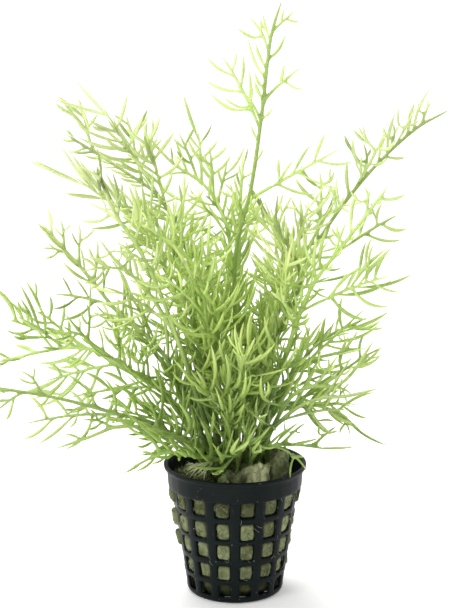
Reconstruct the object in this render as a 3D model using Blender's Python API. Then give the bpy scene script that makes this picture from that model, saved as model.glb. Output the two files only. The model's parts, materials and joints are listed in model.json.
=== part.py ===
"""Water sprite, an aquarium fern, growing from rockwool in a black plastic net pot.

Everything is laid out in millimetres and scaled to metres as each mesh is made.
The origin is the middle of the pot's flat base, +Z is up and -Y is the front.
Each frond is a skeleton first: a spine, branches along it and lobes on each branch.
A branch or lobe is turned, shortened or left out where it would meet another piece.
The skin is then drawn over the skeleton by growing each branch from a face of its parent.
"""

import math
import random

import bmesh
import bpy
import numpy as np
from mathutils import Matrix, Vector

MM = 0.001
CLEARANCE = 0.35
STALK_GAP = 0.55

# Pot, in millimetres
POT_HEIGHT = 51.0
LIP_RADIUS = 27.5
LIP_HEIGHT = 1.6
MOUTH_RADIUS = 24.8
BAND_TOP_RADIUS = 26.3
BAND_FOOT_RADIUS = 25.9
WALL_TOP_RADIUS = 24.4
WALL_FOOT_RADIUS = 18.9
WALL = 1.2
FLOOR = 1.4
BASE_RADIUS = 17.5
COLUMNS = 15
WINDOW_DEGREES = 13.8
WINDOW_ROWS = ((2.8, 7.8), (10.0, 15.8), (18.4, 24.6), (26.5, 33.2), (35.7, 42.3))
SLOT_RADII = (7.0, 14.5)

# Rockwool, crown and roots
PILLOW = 1.4
RECESS = 1.6
WOOL_FOOT_RADIUS = 11.0
WOOL_PEAK_RADIUS = 19.6
HOLLOW_RADIUS = 14.6
HOLLOW_FLOOR = 40.0
CROWN_CENTRE = (-1.2, -0.8, 40.4)
CROWN_SIZE = (12.4, 11.9, 10.4)
CLUMP_CENTRE = (-14.8, -12.2, 48.4)
CLUMP_SIZE = (5.8, 3.3, 3.8)
CLUMP_BED = 45.0

# Fronds
STALK_RADIUS = 1.12
TIP_RADIUS = 0.58
BRANCH_RADIUS = 0.68
BRANCH_ANGLE = math.radians(46.0)
LOBE_BASE = 0.8
STALK_BEND = 0.6
LOBE_ANGLE = math.radians(43.0)
LONGEST_LOBE = 15.0
SHORTEST_LOBE = 4.2
FRONT_FACE = (0.0, -0.86, 0.5)
OPEN_FACE = (0.1, -0.45, 0.85)

# Each frond seen from the front: the points its spine passes (x, y, z), then either the
# tips of its branches (x, z), or how many branches it has and how long the longest is.
FRONDS = {
    "frond_tall": (
        ((1, 3, 75), (0, 6, 128), (6, 6, 156), (10, 3, 185), (13, 0, 212), (17, -2, 226)),
        ((39, 172), (6, 180), (0, 196), (-5, 205), (24, 202), (5, 220), (14, 213), (22, 222)),
    ),
    "frond_right_high": (
        ((14, 13, 91), (30, 22, 129), (50, 31, 156), (70, 40, 174), (85, 45, 182)),
        ((32, 162), (50, 170), (57, 176), (62, 177), (70, 184), (76, 186), (45, 146), (67, 164)),
    ),
    "frond_right_mid": (
        ((18, -13, 94), (27, -21, 122), (39, -28, 141), (48, -32, 154), (54, -34, 163)),
        ((60, 160), (59, 150), (56, 129), (28, 136), (45, 163), (50, 111), (37, 134)),
    ),
    "frond_centre_right": (
        ((16, -5, 92), (28, -8, 120), (25, -10, 133), (18, -10, 143), (16, -11, 155)),
        ((10, 144), (8, 152), (21, 155), (28, 152), (35, 139), (15, 129)),
    ),
    "frond_right_arching": (
        ((13, -11, 79), (18, -15, 90), (28, -20, 96), (45, -25, 102)),
        ((44, 109), (34, 107), (24, 105), (35, 90)),
    ),
    "frond_right_rising": (
        ((19, -20, 80), (27, -28, 88), (39, -33, 91), (50, -36, 108)),
        ((46, 106), (54, 102), (37, 102), (43, 84)),
    ),
    "frond_right_low": (
        ((20, -24, 77), (30, -33, 85), (40, -37, 87), (52, -40, 91)),
        ((38, 93), (46, 95), (41, 79), (32, 77)),
    ),
    "frond_right_drooping": (
        ((17, 7, 71), (32, 12, 70), (42, 15, 65), (51, 16, 57)),
        ((45, 73), (51, 68), (45, 58), (33, 61), (26, 79)),
    ),
    "frond_right_hanging": (
        ((13, -22, 61), (22, -28, 64), (33, -30, 62)),
        ((27, 54), (38, 69), (26, 74)),
    ),
    "frond_upper_left": (
        ((-11, 14, 96), (-18, 24, 127), (-29, 32, 148), (-45, 40, 159), (-67, 46, 172)),
        ((-62, 161), (-61, 182), (-50, 185), (-43, 181), (-35, 179), (-18, 155), (-39, 144)),
    ),
    "frond_left_leafy": (
        ((-9, 4, 92), (-19, 8, 122), (-29, 11, 140), (-37, 12, 153)),
        ((-44, 150), (-27, 156), (-20, 150), (-41, 141), (-12, 141), (-34, 127), (-8, 128)),
    ),
    "frond_right_leafy": (
        ((11, 2, 92), (20, 4, 118), (29, 6, 136), (38, 7, 152)),
        ((44, 151), (30, 153), (41, 141), (19, 142), (36, 124), (10, 130)),
    ),
    "frond_second_left": (
        ((-4, 20, 99), (-2, 29, 131), (-10, 34, 151), (-25, 38, 162), (-33, 40, 171)),
        ((-22, 175), (-15, 175), (-10, 170), (-3, 163), (3, 152), (-20, 147)),
    ),
    "frond_left_curling": (
        ((-20, -17, 100), (-31, -26, 132), (-43, -30, 153), (-48, -31, 165), (-56, -32, 170)),
        ((-40, 164), (-54, 155), (-33, 155), (-28, 141), (-46, 139)),
    ),
    "frond_left_mid": (
        ((-27, 7, 91), (-44, 12, 106), (-57, 16, 121), (-66, 18, 131), (-75, 20, 141)),
        ((-67, 143), (-60, 141), (-75, 132), (-53, 135), (-70, 116), (-58, 105), (-41, 119)),
    ),
    "frond_left_inner": (
        ((-21, -13, 101), (-32, -20, 122), (-43, -24, 134), (-49, -26, 143)),
        ((-56, 131), (-40, 141), (-30, 134), (-49, 122), (-22, 122)),
    ),
    "frond_left_dark": (
        ((-11, -16, 101), (-16, -19, 128), (-28, -20, 140), (-41, -21, 148)),
        ((-32, 151), (-22, 150), (-32, 131), (-8, 141)),
    ),
    "frond_left_low": (
        ((-27, 16, 73), (-47, 22, 84), (-59, 26, 90), (-75, 28, 88), (-96, 28, 83)),
        ((-89, 102), (-80, 104), (-72, 98), (-77, 75), (-65, 74), (-48, 98), (-46, 73)),
    ),
    "frond_left_fan": (
        ((-27, -2, 79), (-42, -4, 90), (-55, -5, 100), (-64, -6, 111)),
        ((-67, 103), (-56, 114), (-47, 112), (-68, 95), (-36, 101)),
    ),
    "frond_left_bottom": (
        ((-26, -11, 69), (-40, -16, 76), (-58, -20, 83), (-73, -22, 87), (-90, -22, 90)),
        ((-88, 80), (-79, 70), (-64, 76), (-79, 94), (-56, 90), (-34, 83)),
    ),
    "frond_left_lowest": (
        ((-26, -18, 68), (-42, -20, 71), (-54, -21, 67), (-67, -23, 63)),
        ((-63, 69), (-48, 58), (-57, 75), (-35, 80)),
    ),
    "frond_left_small": (
        ((-20, -20, 60), (-27, -22, 61), (-39, -24, 56)),
        ((-35, 62), (-34, 68), (-25, 68)),
    ),
    "frond_front_left": (
        ((-3, -18, 73), (-6, -20, 80), (-14, -23, 89)),
        ((-12, 96), (-5, 91), (-17, 83)),
    ),
    "frond_front": (
        ((-1, -16, 74), (-3, -20, 86), (-2, -22, 100)),
        ((4, 94), (-8, 99), (4, 84), (-9, 89)),
    ),
    "frond_front_low": (
        ((1, -19, 60), (5, -22, 65), (12, -24, 70)),
        ((15, 65), (6, 74), (4, 54)),
    ),
}

# Fronds that fill the middle and the back: direction seen from above (0 is +X, 90 is the
# back), how far out and how high the tip is, number of branches, longest branch.
RADIAL_FRONDS = {
    "frond_inner": (
        (248, 34, 124, 6, 17),
        (200, 36, 137, 7, 17),
        (345, 36, 131, 7, 17),
        (275, 42, 104, 6, 16),
    ),
    "frond_back": (
        (58, 60, 138, 6, 20),
        (97, 68, 116, 6, 20),
        (132, 60, 142, 6, 20),
        (28, 60, 102, 6, 18),
        (160, 60, 106, 6, 18),
        (85, 38, 166, 6, 20),
    ),
}

COLOURS = {
    "plastic": (0.012, 0.016, 0.015),
    "wool": (0.27, 0.29, 0.13),
    "crown": (0.10, 0.13, 0.035),
    "roots": (0.17, 0.20, 0.06),
    "frond": (0.24, 0.40, 0.055),
}


# Scene and meshes


def clear_scene():
    for obj in list(bpy.data.objects):
        bpy.data.objects.remove(obj)


def material(name, colour, roughness):
    made = bpy.data.materials.new(name)
    made.use_nodes = True
    shader = made.node_tree.nodes["Principled BSDF"]
    shader.inputs["Base Color"].default_value = (*colour, 1.0)
    shader.inputs["Roughness"].default_value = roughness
    shader.inputs["Metallic"].default_value = 0.0
    return made


def add_object(name, bm, look, smooth_angle=40.0):
    bmesh.ops.recalc_face_normals(bm, faces=bm.faces)
    bmesh.ops.triangulate(bm, faces=bm.faces)
    bmesh.ops.scale(bm, vec=(MM, MM, MM), verts=bm.verts)
    mesh = bpy.data.meshes.new(name)
    bm.to_mesh(mesh)
    bm.free()
    mesh.shade_smooth()
    mesh.set_sharp_from_angle(angle=math.radians(smooth_angle))
    mesh.materials.append(look)
    obj = bpy.data.objects.new(name, mesh)
    bpy.context.scene.collection.objects.link(obj)
    return obj


def ring_of(bm, angles, radius, height):
    """A ring of vertices; radius and height are numbers or functions of the ring index."""
    found = []
    for index, angle in enumerate(angles):
        r = radius(index) if callable(radius) else radius
        z = height(index) if callable(height) else height
        found.append(bm.verts.new((r * math.cos(angle), r * math.sin(angle), z)))
    return found


def strip(bm, lower, upper, skip=()):
    count = len(lower)
    for j in range(count):
        if j not in skip:
            k = (j + 1) % count
            bm.faces.new((lower[j], lower[k], upper[k], upper[j]))


# The pot


def wall_radius(height):
    foot, top = WINDOW_ROWS[0][0], WINDOW_ROWS[-1][1]
    share = (height - foot) / (top - foot)
    return WALL_FOOT_RADIUS + share * (WALL_TOP_RADIUS - WALL_FOOT_RADIUS)


def lattice_angles():
    """Both edges of each window; a bar stands at the very front."""
    half = math.radians(WINDOW_DEGREES / 2)
    pitch = 2 * math.pi / COLUMNS
    angles = []
    for column in range(COLUMNS):
        middle = -math.pi / 2 + (column + 0.5) * pitch
        angles += [middle - half, middle + half]
    return angles


def make_pot(look):
    bm = bmesh.new()
    angles = lattice_angles()
    heights = [z for row in WINDOW_ROWS for z in row]
    outer = [(SLOT_RADII[0], 0), (SLOT_RADII[1], 0), (BASE_RADIUS, 0), (18.5, 1.2)]
    inner = [(SLOT_RADII[0], FLOOR), (SLOT_RADII[1], FLOOR), (16.4, FLOOR), (17.2, 1.8)]
    outer += [(wall_radius(z), z) for z in heights]
    inner += [(wall_radius(z) - WALL, z) for z in heights]
    outside = [ring_of(bm, angles, r, z) for r, z in outer]
    inside = [ring_of(bm, angles, r, z) for r, z in inner]
    first_row = len(outer) - len(heights)
    open_bands = {0} | set(range(first_row, len(outer), 2))
    windows = set(range(0, 2 * COLUMNS, 2))
    for band in range(len(outer) - 1):
        skip = windows if band in open_bands else ()
        strip(bm, outside[band], outside[band + 1], skip)
        strip(bm, inside[band], inside[band + 1], skip)
        for j in skip:
            k = j + 1
            frame = ((j, 0, k, 0), (k, 0, k, 1), (k, 1, j, 1), (j, 1, j, 0))
            for a, up_a, b, up_b in frame:
                bm.faces.new((
                    outside[band + up_a][a],
                    outside[band + up_b][b],
                    inside[band + up_b][b],
                    inside[band + up_a][a],
                ))
    bm.faces.new(outside[0])
    bm.faces.new(inside[0])
    lip_foot = POT_HEIGHT - LIP_HEIGHT
    rim = [
        (BAND_FOOT_RADIUS, heights[-1]),
        (BAND_TOP_RADIUS, lip_foot),
        (LIP_RADIUS, lip_foot),
        (LIP_RADIUS, POT_HEIGHT),
        (MOUTH_RADIUS, POT_HEIGHT),
    ]
    below = outside[-1]
    for r, z in rim:
        above = ring_of(bm, angles, r, z)
        strip(bm, below, above)
        below = above
    strip(bm, below, inside[-1])
    return add_object("net_pot", bm, look)


# Rockwool, crown and roots


def wool_angles():
    """Pillows stand at every second angle, in the middle of a window."""
    count = 2 * COLUMNS
    return [-math.pi / 2 + 2 * math.pi * j / count for j in range(count)]


def torn_edge():
    """Height and radius of the wool's torn top: high on the front right, low on the left."""
    rng = random.Random(3)
    tops, peaks = [], []
    for angle in wool_angles():
        right = 0.5 + 0.5 * math.cos(angle + math.radians(28))
        top = 46.0 + 11.5 * right**1.6 + rng.uniform(-1.6, 1.6)
        bed = math.atan2(CLUMP_CENTRE[1], CLUMP_CENTRE[0])
        if math.cos(angle - bed) > math.cos(math.radians(32)):
            top = CLUMP_BED
        tops.append(top)
        peaks.append(WOOL_PEAK_RADIUS + rng.uniform(-1.3, 0.8))
    return tops, peaks


def make_wool(look):
    bm = bmesh.new()
    rng = random.Random(5)
    angles = wool_angles()
    count = len(angles)
    rings = [ring_of(bm, angles, WOOL_FOOT_RADIUS, FLOOR + 0.3)]
    levels = [(WINDOW_ROWS[0][1] + WINDOW_ROWS[1][0]) / 2]
    for row, (low, high) in enumerate(WINDOW_ROWS[1:], 1):
        levels.append((low + high) / 2)
        above = WINDOW_ROWS[row + 1][0] if row + 1 < len(WINDOW_ROWS) else high + 2.2
        levels.append((high + above) / 2)
    for number, z in enumerate(levels):
        def radius(j, z=z, row=number % 2):
            pillow = row == 1 and j % 2 == 1
            return wall_radius(z) - WALL + (PILLOW if pillow else -RECESS)
        rings.append(ring_of(bm, angles, radius, z))
    tops, peaks = torn_edge()
    edges = [min(top - rng.uniform(0.5, 3.0), 52.0) for top in tops]
    rings.append(ring_of(bm, angles, lambda j: peaks[j], lambda j: tops[j]))
    rings.append(ring_of(bm, angles, HOLLOW_RADIUS + 1.2, lambda j: edges[j]))
    rings.append(ring_of(bm, angles, HOLLOW_RADIUS, HOLLOW_FLOOR))
    for low, high in zip(rings, rings[1:]):
        for j in range(count):
            k = (j + 1) % count
            # The diagonal always runs out from a pillow's top.
            if (j + rings.index(low)) % 2 == 1:
                bm.faces.new((low[j], low[k], high[k]))
                bm.faces.new((low[j], high[k], high[j]))
            else:
                bm.faces.new((low[j], low[k], high[j]))
                bm.faces.new((low[k], high[k], high[j]))
    bm.faces.new(rings[0])
    bm.faces.new(rings[-1])
    return add_object("rockwool_plug", bm, look)


def crown_point(share, angle, lift=0.0):
    """A point on the crown's dome; share is 0 at its top and 1 at its edge."""
    cx, cy, cz = CROWN_CENTRE
    sx, sy, sz = CROWN_SIZE
    rise = math.sqrt(max(0.0, 1 - share * share))
    normal = np.array((share * math.cos(angle) / sx, share * math.sin(angle) / sy, rise / sz))
    normal /= np.linalg.norm(normal)
    point = (cx + sx * share * math.cos(angle), cy + sy * share * math.sin(angle), cz + sz * rise)
    return np.array(point) + normal * lift, normal


def make_crown(look):
    bm = bmesh.new()
    sides = 12
    angles = [2 * math.pi * j / sides for j in range(sides)]
    rings = []
    for share in (1.0, 0.86, 0.55):
        ring = []
        for angle in angles:
            point, _ = crown_point(share, angle)
            ring.append(bm.verts.new(point))
        rings.append(ring)
    for low, high in zip(rings, rings[1:]):
        strip(bm, low, high)
    top = bm.verts.new(crown_point(0.0, 0.0)[0])
    for j in range(sides):
        bm.faces.new((rings[-1][j], rings[-1][(j + 1) % sides], top))
    bm.faces.new(rings[0])
    return add_object("crown", bm, look)


def make_roots(look):
    """A low tangle on the wool, with root strands drawn out of it."""
    bm = bmesh.new()
    rng = random.Random(11)
    bmesh.ops.create_icosphere(bm, subdivisions=2, radius=1.0)
    for vert in bm.verts:
        swell = 1.0 + rng.uniform(-0.16, 0.16)
        vert.co = Vector([c * s * swell for c, s in zip(vert.co, CLUMP_SIZE)])
    turn = Matrix.Rotation(math.radians(-38), 4, "Z")
    bmesh.ops.transform(bm, matrix=turn, verts=bm.verts)
    bmesh.ops.translate(bm, vec=CLUMP_CENTRE, verts=bm.verts)
    for vert in bm.verts:
        vert.co.z = max(vert.co.z, CLUMP_BED + 0.6)
    bm.faces.ensure_lookup_table()
    crest = sorted(bm.faces, key=lambda face: -face.calc_center_median().z)[:40]
    for face in crest[::8]:
        strand = bmesh.ops.extrude_discrete_faces(bm, faces=[face])["faces"][0]
        out = strand.normal.copy()
        centre = strand.calc_center_median()
        for vert in strand.verts:
            vert.co = centre + (vert.co - centre) * 0.28 + out * rng.uniform(1.5, 2.2)
        bmesh.ops.pointmerge(bm, verts=strand.verts, merge_co=centre + out * 2.4)
    return add_object("root_clump", bm, look)


# Distances between pieces


class Space:
    """The room already taken, held as capsules: a segment and a radius each."""

    def __init__(self):
        self.starts = np.zeros((0, 3))
        self.ends = np.zeros((0, 3))
        self.radii = np.zeros(0)

    def add(self, path, radii):
        path = np.asarray(path, float)
        pair = np.maximum(radii[:-1], radii[1:])
        self.starts = np.vstack([self.starts, path[:-1]])
        self.ends = np.vstack([self.ends, path[1:]])
        self.radii = np.concatenate([self.radii, pair])

    def room(self, path, radii):
        """The smallest gap between this path and everything held, in millimetres."""
        path = np.asarray(path, float)
        p, q = path[:-1], path[1:]
        own = np.maximum(radii[:-1], radii[1:])
        d1, d2 = q - p, self.ends - self.starts
        r = p[:, None] - self.starts[None]
        a = (d1 * d1).sum(1)[:, None]
        e = (d2 * d2).sum(1)[None]
        b = d1 @ d2.T
        c = (d1[:, None] * r).sum(2)
        f = (d2[None] * r).sum(2)
        s = np.clip((b * f - c * e) / np.maximum(a * e - b * b, 1e-9), 0, 1)
        t = np.clip((b * s + f) / e, 0, 1)
        s = np.clip((b * t - c) / a, 0, 1)
        gap = r + d1[:, None] * s[..., None] - d2[None] * t[..., None]
        return float((np.linalg.norm(gap, axis=2) - own[:, None] - self.radii[None]).min())


# Frond skeletons


class Limb:
    """A stalk, branch or lobe: its middle line, its radius at each point, and its children.

    A child is (segment, side, limb) and grows from that side of the segment.
    """

    def __init__(self, path, radii, up):
        self.path = np.asarray(path, float)
        self.radii = np.asarray(radii, float)
        self.up = np.asarray(up, float)
        self.children = []

    def tangent(self, index):
        low, high = max(index - 1, 0), min(index + 1, len(self.path) - 1)
        return unit(self.path[high] - self.path[low])


def unit(vector):
    vector = np.asarray(vector, float)
    return vector / max(np.linalg.norm(vector), 1e-9)


def across(vector, tangent):
    """The part of a vector that is square to the tangent, at unit length."""
    return unit(vector - np.dot(vector, tangent) * tangent)


def smooth_curve(points, steps=10):
    """A Catmull-Rom curve through the points, as a fine polyline."""
    p = np.asarray(points, float)
    p = np.vstack([2 * p[0] - p[1], p, 2 * p[-1] - p[-2]])
    t = np.linspace(0, 1, steps, endpoint=False)[:, None]
    found = []
    for a, b, c, d in zip(p, p[1:], p[2:], p[3:]):
        found.append(0.5 * (
            2 * b + (c - a) * t + (2 * a - 5 * b + 4 * c - d) * t**2
            + (3 * b - a - 3 * c + d) * t**3
        ))
    return np.vstack(found + [p[-2:-1]])


class Curve:
    """A polyline read by distance along it."""

    def __init__(self, points):
        self.points = np.asarray(points, float)
        steps = np.linalg.norm(np.diff(self.points, axis=0), axis=1)
        self.marks = np.concatenate([[0.0], np.cumsum(steps)])
        self.length = self.marks[-1]

    def at(self, distance):
        return np.array([np.interp(distance, self.marks, self.points[:, k]) for k in range(3)])

    def tangent(self, distance, step=1.5):
        return unit(self.at(distance + step) - self.at(distance - step))


def turned(vector, axis, angle):
    axis = unit(axis)
    c, s = math.cos(angle), math.sin(angle)
    return vector * c + np.cross(axis, vector) * s + axis * np.dot(axis, vector) * (1 - c)


class Frond:
    """One frond: its spine as a curve, then its branches once every spine is placed."""

    def __init__(self, name, route, branches, face, seed):
        self.name = name
        self.route = [np.array(point, float) for point in route]
        self.branches = branches
        self.face = np.asarray(face, float)
        self.rng = random.Random(seed)
        self.limbs = []

    def place_spine(self, root, normal, space):
        """Take the depth, near the one drawn, that leaves the other spines most room."""
        best = None
        for depth in (0, -2, 2, -4, 4, -6, 6, -9, 9, -12, 12):
            for swing in (0, -2, 2, -4, 4):
                route = [root, root + unit(normal * 0.35 + np.array((0, 0, 1.0))) * 8.0]
                count = len(self.route)
                for index, point in enumerate(self.route):
                    share = (index + 1) / count
                    route.append(point + np.array((swing * share * (1 - share) * 4, depth * share, 0)))
                curve = Curve(smooth_curve(route))
                marks = np.linspace(0, curve.length, max(4, int(curve.length / 4)))
                path = np.array([curve.at(mark) for mark in marks])
                radii = STALK_RADIUS + (TIP_RADIUS - STALK_RADIUS) * marks / curve.length
                room = space.room(path, radii)
                if best is None or room > best[0]:
                    best = (room, curve, path, radii)
                if room > STALK_GAP:
                    break
            if best[0] > STALK_GAP:
                break
        self.spare, self.spine, path, radii = best
        space.add(path, radii)

    def spine_radius(self, mark):
        return STALK_RADIUS + (TIP_RADIUS - STALK_RADIUS) * mark / self.spine.length

    def frame(self, mark):
        tangent = self.spine.tangent(mark)
        up = across(self.face, tangent)
        return tangent, up, np.cross(tangent, up)

    def wanted_branches(self):
        """Where each branch leaves the spine and where its tip is, from the base up."""
        length = self.spine.length
        if len(self.branches) == 2 and not isinstance(self.branches[0], tuple):
            count, longest = self.branches
            found = []
            for index in range(count):
                share = (index + 0.5) / count
                mark = length * (0.40 + 0.55 * share)
                tangent, up, side = self.frame(mark)
                reach = longest * (1.0 - 0.6 * share**1.4) * self.rng.uniform(0.85, 1.1)
                angle = math.radians(64 - 26 * share + self.rng.uniform(-7, 7))
                way = side * (1 if index % 2 else -1)
                heading = tangent * math.cos(angle) + way * math.sin(angle)
                heading += up * self.rng.uniform(-0.25, 0.3) + np.array((0, 0, 0.15))
                found.append((mark, self.spine.at(mark) + unit(heading) * reach))
            return found
        found = []
        for number, (x, z) in enumerate(self.branches):
            lean = self.rng.uniform(0.15, 0.5) * (1 if number % 2 else -1)
            best = None
            for mark in np.arange(0.12 * length, 0.985 * length, 1.0):
                point = self.spine.at(mark)
                tip = np.array((x, point[1], z), float)
                tip[1] += lean * np.linalg.norm(tip - point)
                way = unit(tip - point)
                angle = math.acos(np.clip(np.dot(way, self.spine.tangent(mark)), -1, 1))
                miss = abs(angle - BRANCH_ANGLE)
                if best is None or miss < best[0]:
                    best = (miss, mark, tip)
            found.append((best[1], best[2]))
        return sorted(found, key=lambda pair: pair[0])

    def spaced(self, wanted):
        """Branches leave at least 2.4 mm apart along the spine."""
        marks, last = [], 6.0
        for mark, tip in wanted:
            mark = max(mark, last + 2.4)
            if mark < self.spine.length - 2.5:
                marks.append((mark, tip))
                last = mark
        return marks

    def branch(self, mark, tip, turn, stretch):
        """One branch with its lobes, turned about the spine and shortened as asked."""
        tangent, up, side = self.frame(mark)
        foot = self.spine.at(mark)
        reach = turned(tip - foot, tangent, turn) * stretch
        way = 1 if np.dot(reach, side) > 0 else -1
        start = foot + side * way * self.spine_radius(mark) * 0.8
        end = foot + reach
        length = np.linalg.norm(end - start)
        heading = unit(end - start)
        bow = across(tangent, heading) * length * -0.09
        shares = [0.0]
        for place in self.lobe_places(length):
            shares += [place - LOBE_BASE / length, place + LOBE_BASE / length]
        shares += [0.5, 1.0] if len(shares) == 1 else [1.0]
        path = [start + (end - start) * s + bow * 4 * s * (1 - s) for s in shares]
        thick = BRANCH_RADIUS * min(1.15, 0.78 + length / 60)
        radii = [thick * (1 - 0.35 * s) for s in shares]
        radii[-1] = 0.1
        limb = Limb(path, radii, across(up, heading))
        return way, length, limb

    @staticmethod
    def lobe_places(length):
        """Shares of a branch's length where lobes leave it, more on a longer branch."""
        for longest, places in ((10.0, ()), (20.0, (0.42,)), (30.0, (0.34, 0.63))):
            if length < longest:
                return places
        return (0.27, 0.5, 0.73)

    def lobes_of(self, length, limb, space):
        """Lobes on both sides, each tilted or shortened to where it has room."""
        for number, share in enumerate(self.lobe_places(length)):
            segment = 1 + 2 * number
            heading = unit(limb.path[segment + 1] - limb.path[segment])
            up = across(limb.up, heading)
            side = np.cross(heading, up)
            middle = (limb.path[segment] + limb.path[segment + 1]) / 2
            for way in (1, -1):
                angle = LOBE_ANGLE + self.rng.uniform(-0.14, 0.14)
                reach = length * (0.68 - 0.42 * share) * self.rng.uniform(0.85, 1.15)
                reach = min(LONGEST_LOBE, reach)
                flat = heading * math.cos(angle) + side * way * math.sin(angle)
                choices = [(t, c) for t in (0.1, 0.35, -0.2, 0.6) for c in (1.0, 0.78, 0.58)]
                for tilt, stretch in choices:
                    heading_out = unit(flat + up * tilt + np.array((0, 0, 0.24)))
                    if reach * stretch < SHORTEST_LOBE:
                        continue
                    ends = [middle + heading_out * 0.8, middle + heading_out * reach * stretch]
                    radii = np.array([BRANCH_RADIUS * 0.9, 0.25])
                    if space.room([ends[0] + heading_out, ends[1]], radii) > CLEARANCE:
                        limb.children.append((segment, way, Limb(ends, radii, up)))
                        break

    def grow(self, space):
        """Place the branches that have room, with their lobes."""
        self.limbs = []
        for mark, tip in self.spaced(self.wanted_branches()):
            done = False
            for stretch in (1.0, 0.8, 0.62, 0.45):
                for degrees in (0, 12, -12, 24, -24, 38, -38):
                    way, length, limb = self.branch(mark, tip, math.radians(degrees), stretch)
                    if length < 4.0:
                        continue
                    clear = limb.path.copy()
                    clear[0] += unit(clear[1] - clear[0]) * min(2.2, length * 0.3)
                    if space.room(clear, limb.radii) > CLEARANCE:
                        done = True
                        break
                if done:
                    break
            if not done:
                continue
            self.lobes_of(length, limb, space)
            space.add(limb.path, limb.radii)
            for _, _, lobe in limb.children:
                space.add(lobe.path, lobe.radii)
            self.limbs.append((mark, way, limb))


def eased(curve, low, high):
    """Rings between two marks, enough that no chord strays from the curve."""
    middle = (low + high) / 2
    chord = (curve.at(low) + curve.at(high)) / 2
    if high - low < 5 or np.linalg.norm(curve.at(middle) - chord) < STALK_BEND:
        return []
    return eased(curve, low, middle) + [middle] + eased(curve, middle, high)


def stations(frond):
    """Distances along the spine of every ring, and which branch leaves after each ring."""
    marks, leaving = [0.0], {}
    for mark, way, limb in frond.limbs:
        half = 0.85 - 0.25 * mark / frond.spine.length
        marks += eased(frond.spine, marks[-1], mark - half)
        marks.append(mark - half)
        leaving[len(marks) - 1] = (way, limb)
        marks.append(mark + half)
    marks += eased(frond.spine, marks[-1], frond.spine.length)
    return marks + [frond.spine.length], leaving


def skeleton(frond):
    """The whole frond as one tree of limbs."""
    marks, leaving = stations(frond)
    path = [frond.spine.at(mark) for mark in marks]
    radii = [frond.spine_radius(mark) for mark in marks]
    stalk = Limb(path, radii, frond.face)
    for segment, (way, limb) in leaving.items():
        stalk.children.append((segment, way, limb))
    return stalk


# Frond skin


def corners(bm, limb, index):
    """A three-cornered ring: the ridge on top, then the two sides."""
    tangent = limb.tangent(index)
    up = across(limb.up, tangent)
    side = np.cross(tangent, up)
    centre, r = limb.path[index], limb.radii[index]
    places = (up * r, side * r * 0.95 - up * r * 0.5, -side * r * 0.95 - up * r * 0.5)
    return [bm.verts.new(centre + place) for place in places]


def skin(bm, limb, hole=None, parent_tangent=None):
    """Draw a limb as a three-sided tube; a child starts at the hole left in its parent."""
    holes = {(segment, way): child for segment, way, child in limb.children}
    last = len(limb.path) - 1
    if hole is None:
        previous = corners(bm, limb, 0)
        bm.faces.new(previous)
        start = 1
    else:
        if last == 1:
            tip = bm.verts.new(limb.path[1])
            for a, b in zip(hole, hole[1:] + hole[:1]):
                bm.faces.new((a, b, tip))
            return
        previous = corners(bm, limb, 1)
        tangent = limb.tangent(1)
        side = np.cross(tangent, across(limb.up, tangent))
        ahead = 1 if np.dot(side, parent_tangent) > 0 else 2
        behind = 3 - ahead
        # The hole runs: behind and up, ahead and up, ahead and low, behind and low.
        mates = [previous[0], previous[0], previous[ahead], previous[behind]]
        for k in range(4):
            a, b = hole[k], hole[(k + 1) % 4]
            c, d = mates[(k + 1) % 4], mates[k]
            bm.faces.new((a, b, c) if c is d else (a, b, c, d))
        start = 2
    for index in range(start, last + 1):
        segment = index - 1
        if index == last:
            tip = bm.verts.new(limb.path[last])
            for k in range(3):
                bm.faces.new((previous[k], previous[(k + 1) % 3], tip))
            break
        following = corners(bm, limb, index)
        tangent = unit(limb.path[index] - limb.path[index - 1])
        for way, (a, b) in ((1, (0, 1)), (-1, (0, 2))):
            quad = [previous[a], following[a], following[b], previous[b]]
            child = holes.get((segment, way))
            if child is None:
                bm.faces.new(quad)
            else:
                skin(bm, child, quad, tangent)
        bm.faces.new((previous[1], following[1], following[2], previous[2]))
        previous = following


def all_fronds():
    made = []
    for index, (name, (route, tips)) in enumerate(FRONDS.items()):
        made.append(Frond(name, route, tips, FRONT_FACE, 100 + index))
    for group, rows in RADIAL_FRONDS.items():
        for number, (degrees, reach, height, count, longest) in enumerate(rows, 1):
            way = np.array((math.cos(math.radians(degrees)), math.sin(math.radians(degrees)), 0))
            rise = height - CROWN_CENTRE[2]
            route = []
            for out, up in ((0.28, 0.45), (0.62, 0.84), (1.0, 1.0)):
                route.append(way * reach * out + np.array((0, 0, CROWN_CENTRE[2] + rise * up)))
            seed = 200 + 20 * len(made) + number
            made.append(Frond(f"{group}_{number}", route, (count, longest), OPEN_FACE, seed))
    return made


def crown_slots(count):
    """Places on the crown where the stalks rise, in a sunflower's spiral."""
    golden = math.pi * (3 - math.sqrt(5))
    return [(0.9 * math.sqrt((k + 0.5) / count), k * golden) for k in range(count)]


def shared_out(fronds, slots):
    """Each frond's place on the crown, swapped in pairs until all rise the way they lean."""
    centre = np.array(CROWN_CENTRE)
    wanted = []
    for frond in fronds:
        lean = frond.route[0] - centre
        wanted.append(lean[:2] / np.linalg.norm(lean) * 15.0)
    places = [crown_point(*slot)[0][:2] - centre[:2] for slot in slots]
    miss = [[((place - want) ** 2).sum() for place in places] for want in wanted]
    order = list(range(len(slots)))
    for _ in range(12):
        for a in range(len(order)):
            for b in range(a + 1, len(order)):
                now = miss[a][order[a]] + miss[b][order[b]]
                if miss[a][order[b]] + miss[b][order[a]] < now - 1e-6:
                    order[a], order[b] = order[b], order[a]
    return [slots[index] for index in order]


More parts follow.
